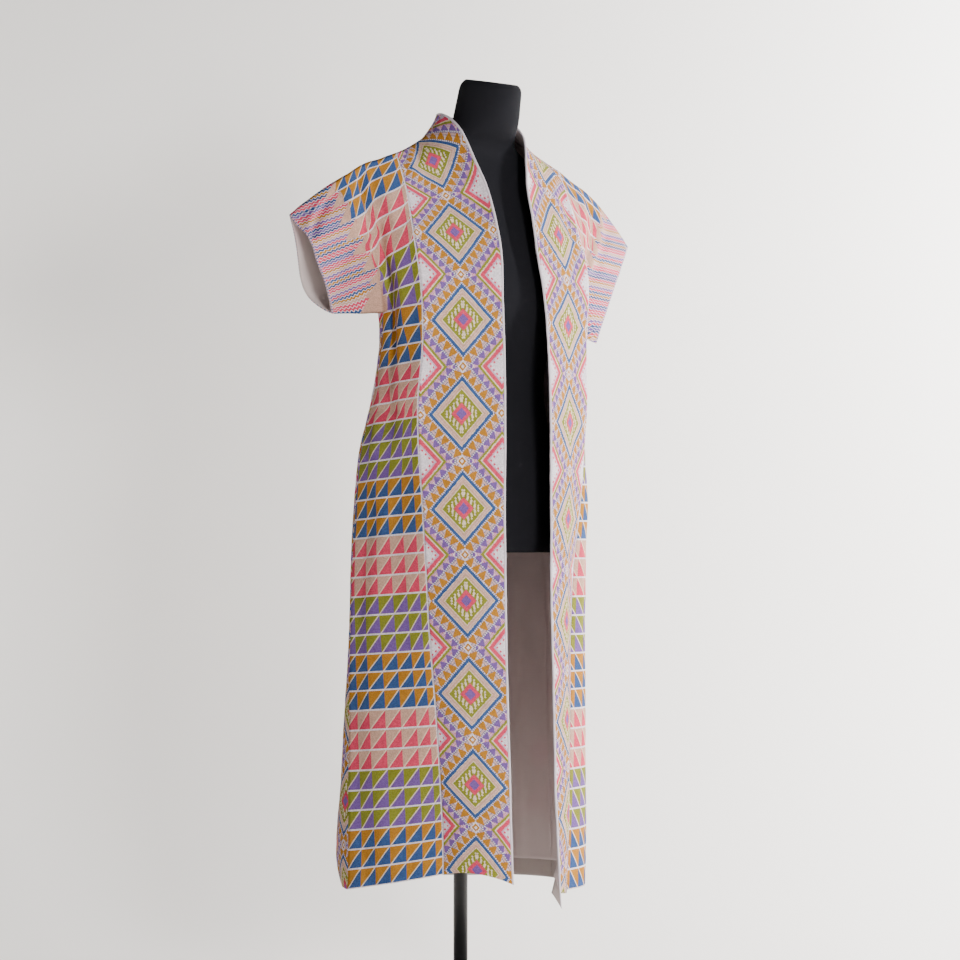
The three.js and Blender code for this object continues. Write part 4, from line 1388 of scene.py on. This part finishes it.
def build_neckband(grid, looks):
    arc = arc_across(grid.points)
    count, width = arc.shape
    run = np.broadcast_to(distance_along(grid.points[:, 0])[:, None], arc.shape)
    motif = np.stack([-1 + arc / DIAMOND_HALF, run / BACK_HALF_PITCH + NECKBAND_START], -1)
    layers = {"place": np.stack([arc, run], -1), "motif": motif,
              "border": np.stack([NO_EDGE + 0 * arc, 0 * arc], -1)}
    obj = wall("neckband_back.cloth", grid, slice(0, count), slice(0, width),
               0.0, LINING_DEPTH + LINING_WALL, layers, looks["band"])
    declare(obj, "neckband_back")


BINDING_SIDES = 12
BINDING_HALF_WIDTH = 2.1
BINDING_HALF_THICK = 1.75
BINDING_INWARD = 1.0


def build_binding(skin, looks):
    """The rolled edge: up the right front, round the neck and down the left front."""
    spots = []
    for name, order in (("right", 1), ("collar", 1), ("left", -1)):
        grid = skin[name]
        inward = unit(grid.points[:, 1] - grid.points[:, 0])
        part = [grid.points[:, 0], inward, grid.mitre[:, 0]]
        keep = slice(1, -1) if name == "collar" else slice(None)
        spots.append([values[keep][::order] for values in part])
    points, inward, normal = (np.concatenate(values) for values in zip(*spots))
    centre = points - inward * BINDING_INWARD - normal * (LINING_DEPTH + LINING_WALL) / 2
    turn = np.arange(BINDING_SIDES) / BINDING_SIDES * 2 * math.pi
    ring = (centre[:, None] + inward[:, None] * (BINDING_HALF_WIDTH * np.cos(turn))[None, :, None]
            + normal[:, None] * (BINDING_HALF_THICK * np.sin(turn))[None, :, None])
    run = distance_along(points)
    place = np.stack(np.broadcast_arrays(turn[None] * 2, run[:, None]), -1).reshape(-1, 2)
    obj = tube("edge_binding.cloth", ring, place, looks["piping"], inward=True)
    declare(obj, "edge_binding")


# ---- the dress form and its stand ----
FORM_SIDES = 128
FORM_LEVELS = 170
FORM_RADIUS = 130.0
# The form's rounded ends: each height and how far its ring is drawn in; plain rings lie between.
FORM_FOOT = [(729, 4.0), (730, 1.8), (733, 0.5)]
FORM_HEAD = [(1448, 0.6), (1450, 2.2)]
FORM_BETWEEN = (738, 1444)
FORM_NECK, FORM_NECK_RISE = 1390.0, 60.0


def lathe(name, profile, sides, material):
    """A closed round solid from (radius, height) millimetres."""
    radius, height = np.array(profile, float).T[:, :, None]
    turn = np.arange(sides) / sides * 2 * math.pi
    rings = join(radius * np.cos(turn), radius * np.sin(turn), height)
    return tube(name, rings, rings.reshape(-1, 3)[:, :2], material)


def form_rings():
    plain = [(level, 0) for level in np.linspace(*FORM_BETWEEN, FORM_LEVELS)]
    level, shrink = np.array(FORM_FOOT + plain + FORM_HEAD).T[:, :, None]
    turn = (np.arange(FORM_SIDES) / FORM_SIDES * 2 * math.pi)[None]
    half = FORM.read("half", level) - shrink
    front, back = FORM.read("front", level), FORM.read("back", level)
    deep = (back - front) / 2 - shrink
    power = 2 / FORM.read("power", level)
    x = half * np.sign(np.cos(turn)) * np.abs(np.cos(turn)) ** power
    y = deep * np.sign(np.sin(turn)) * np.abs(np.sin(turn)) ** power
    neck = np.clip((level - FORM_NECK) / FORM_NECK_RISE, 0, 1)
    return join(x, (front + back) / 2 + y, level + y * FORM_TOP_TILT * neck)


def build_form(looks):
    rings = form_rings()
    flat = rings.reshape(-1, 3)
    girth = np.arctan2(flat[:, 1], flat[:, 0]) * FORM_RADIUS
    place = np.stack([girth, flat[:, 2]], -1)
    own(tube("dress_form.cover", rings, place, looks["form"]), "dress_form")


POLE = [(11, 20.4), (11, 728.6)]
BASE = [
    (158, 0), (160, 0.4), (162.4, 1.6), (163, 3.2), (163, 8), (161.8, 10.4), (158, 12), (31, 16),
    (25.6, 17.4), (24, 20), (24, 57), (23.2, 59.6), (20.6, 61), (11.4, 61), (11.4, 20.2),
]


def build_stand(looks):
    own(lathe("pole.tube", POLE, 64, looks["metal"]), "pole")
    own(lathe("base.plate", BASE, 128, looks["metal"]), "base")


# ---- the room ----
CAMERA_TURN = -38.0
CAMERA_AWAY = 4200.0
CAMERA_HEIGHT = 725.0
LENS_PIXELS = 2709.0
SENSOR = 36.0
PICTURE = 960.0
POLE_COLUMN = 460.6
HORIZON_ROW = 555.0


def add_camera():
    azimuth = math.radians(CAMERA_TURN)
    toward = Vector((math.sin(azimuth), -math.cos(azimuth), 0))
    right = Vector((math.cos(azimuth), math.sin(azimuth), 0))
    yaw = math.atan((PICTURE / 2 - POLE_COLUMN) / LENS_PIXELS)
    pitch = math.atan((HORIZON_ROW - PICTURE / 2) / LENS_PIXELS)
    level = -toward * math.cos(yaw) + right * math.sin(yaw)
    side = right * math.cos(yaw) + toward * math.sin(yaw)
    forward = level * math.cos(pitch) + Vector((0, 0, math.sin(pitch)))
    up = side.cross(forward)
    data = bpy.data.cameras.new("camera")
    data.sensor_width = SENSOR
    data.lens = SENSOR * LENS_PIXELS / PICTURE
    data.clip_start = 0.1
    data.clip_end = 60.0
    camera = bpy.data.objects.new("camera", data)
    bpy.context.collection.objects.link(camera)
    turn = Matrix((side, up, -forward)).transposed().to_4x4()
    place = toward * CAMERA_AWAY * MM
    camera.matrix_world = Matrix.Translation((place.x, place.y, CAMERA_HEIGHT * MM)) @ turn
    bpy.context.scene.camera = camera


def add_light(name, place, aim, size, power, colour):
    data = bpy.data.lights.new(name, "AREA")
    data.shape = "RECTANGLE"
    data.size, data.size_y = size
    data.energy = power
    data.color = colour
    lamp = bpy.data.objects.new(name, data)
    bpy.context.collection.objects.link(lamp)
    lamp.location = place
    lamp.rotation_euler = (Vector(aim) - Vector(place)).to_track_quat("-Z", "Y").to_euler()


FLOOR_BACK = 0.55
WALL_CURVE = 0.6
WALL_TOP = 4.5
ROOM_HALF = 9.0
CURVE_STEPS = 13


def sweep_mesh():
    """The floor and, in one piece with it, the wall behind the object, square to the camera."""
    azimuth = math.radians(CAMERA_TURN)
    away = np.array([-math.sin(azimuth), math.cos(azimuth), 0])
    right = np.array([math.cos(azimuth), math.sin(azimuth), 0])
    turn = np.linspace(0, math.pi / 2, CURVE_STEPS)
    out = np.r_[-ROOM_HALF, FLOOR_BACK + WALL_CURVE * np.sin(turn), FLOOR_BACK + WALL_CURVE]
    up = np.r_[0.0, WALL_CURVE * (1 - np.cos(turn)), WALL_TOP]
    line = out[:, None] * away + np.stack([0 * up, 0 * up, up], -1)
    points = np.concatenate([line - right * ROOM_HALF, line + right * ROOM_HALF])
    count = len(line)
    faces = [(i, i + count, i + count + 1, i + 1) for i in range(count - 1)]
    behind = [reach * away + side * ROOM_HALF * right for reach, side in
              ((FLOOR_BACK, -1), (FLOOR_BACK, 1), (ROOM_HALF, 1), (ROOM_HALF, -1))]
    faces.append(tuple(range(2 * count, 2 * count + 4)))
    mesh = bpy.data.meshes.new("floor")
    mesh.from_pydata([tuple(point) for point in [*points, *behind]], [], faces)
    mesh.shade_smooth()
    return mesh


def clear_from_behind(tree, shader):
    """Lets the wall be looked through from its back, so that it hides the object from no side."""
    output = next(n for n in tree.nodes if n.type == "OUTPUT_MATERIAL")
    side = tree.nodes.new("ShaderNodeNewGeometry")
    clear = tree.nodes.new("ShaderNodeBsdfTransparent")
    choice = tree.nodes.new("ShaderNodeMixShader")
    tree.links.new(side.outputs["Backfacing"], choice.inputs[0])
    tree.links.new(shader.outputs[0], choice.inputs[1])
    tree.links.new(clear.outputs[0], choice.inputs[2])
    tree.links.new(choice.outputs[0], output.inputs["Surface"])


def spot(right, away, height):
    """A place beside and behind the pole, as the camera sees it."""
    angle = math.radians(CAMERA_TURN)
    return (right * math.cos(angle) - away * math.sin(angle),
            right * math.sin(angle) + away * math.cos(angle), height)


def add_floor():
    material, shader = new_material("pale_floor", 0.9)
    shader.inputs["Base Color"].default_value = seen(246, 243, 239)
    clear_from_behind(material.node_tree, shader)
    mesh = sweep_mesh()
    mesh.materials.append(material)
    floor = bpy.data.objects.new("floor", mesh)
    bpy.context.collection.objects.link(floor)


def add_world():
    world = bpy.data.worlds.new("room")
    bpy.context.scene.world = world
    world.use_nodes = True
    sky = next(n for n in world.node_tree.nodes if n.type == "BACKGROUND")
    sky.inputs[0].default_value = (0.95, 0.94, 0.95, 1)
    sky.inputs[1].default_value = 0.16


def add_lights():
    """Each light's place and aim, its size in metres, its watts and its colour."""
    white = (1, 1, 1)
    add_light("key", spot(1.2, -2.9, 1.1), (0, 0, 0.8), (0.6, 0.6), 92, (1, 0.985, 0.965))
    add_light("fill", spot(-2.6, -2.6, 1.4), (0, 0, 0.9), (1.8, 1.8), 2, white)
    add_light("wall_right", spot(2.2, -0.1, 1.7), spot(2.0, 1.15, 1.4), (0.8, 1.6), 280, white)
    add_light("wall_left", spot(-2.5, 0.1, 1.5), spot(-2.5, 1.15, 1.4), (0.8, 1.6), 34, white)


def make_looks():
    """Every material, under the name that the builders above use for it."""
    return {
        "band": band_cloth("diamond_stitching"),
        "side": side_cloth("triangle_stitching"),
        "back": back_cloth("back_stitching"),
        "lining": plain_cloth("lining_satin", seen(198, 183, 181), 0.5, 0.9, seen(206, 160, 170)),
        "turnup": plain_cloth("turned_hem", seen(168, 156, 152), 0.8, 1.2, seen(196, 140, 150)),
        "piping": plain_cloth("piping", PIPING, 0.75, 1.0),
        "form": plain_cloth("form_jersey", seen(27, 27, 31), 0.9, 1.1, sheen=0.0),
        "metal": metal("stand_paint"),
    }


def main():
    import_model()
    looks = make_looks()
    skin = build_skin()
    for half in BOTH:
        build_front(half, skin[half], looks)
    build_back(skin["back"], looks)
    build_neckband(skin["collar"], looks)
    build_binding(skin, looks)
    build_form(looks)
    build_stand(looks)
    add_camera()
    add_floor()
    add_world()
    add_lights()


main()
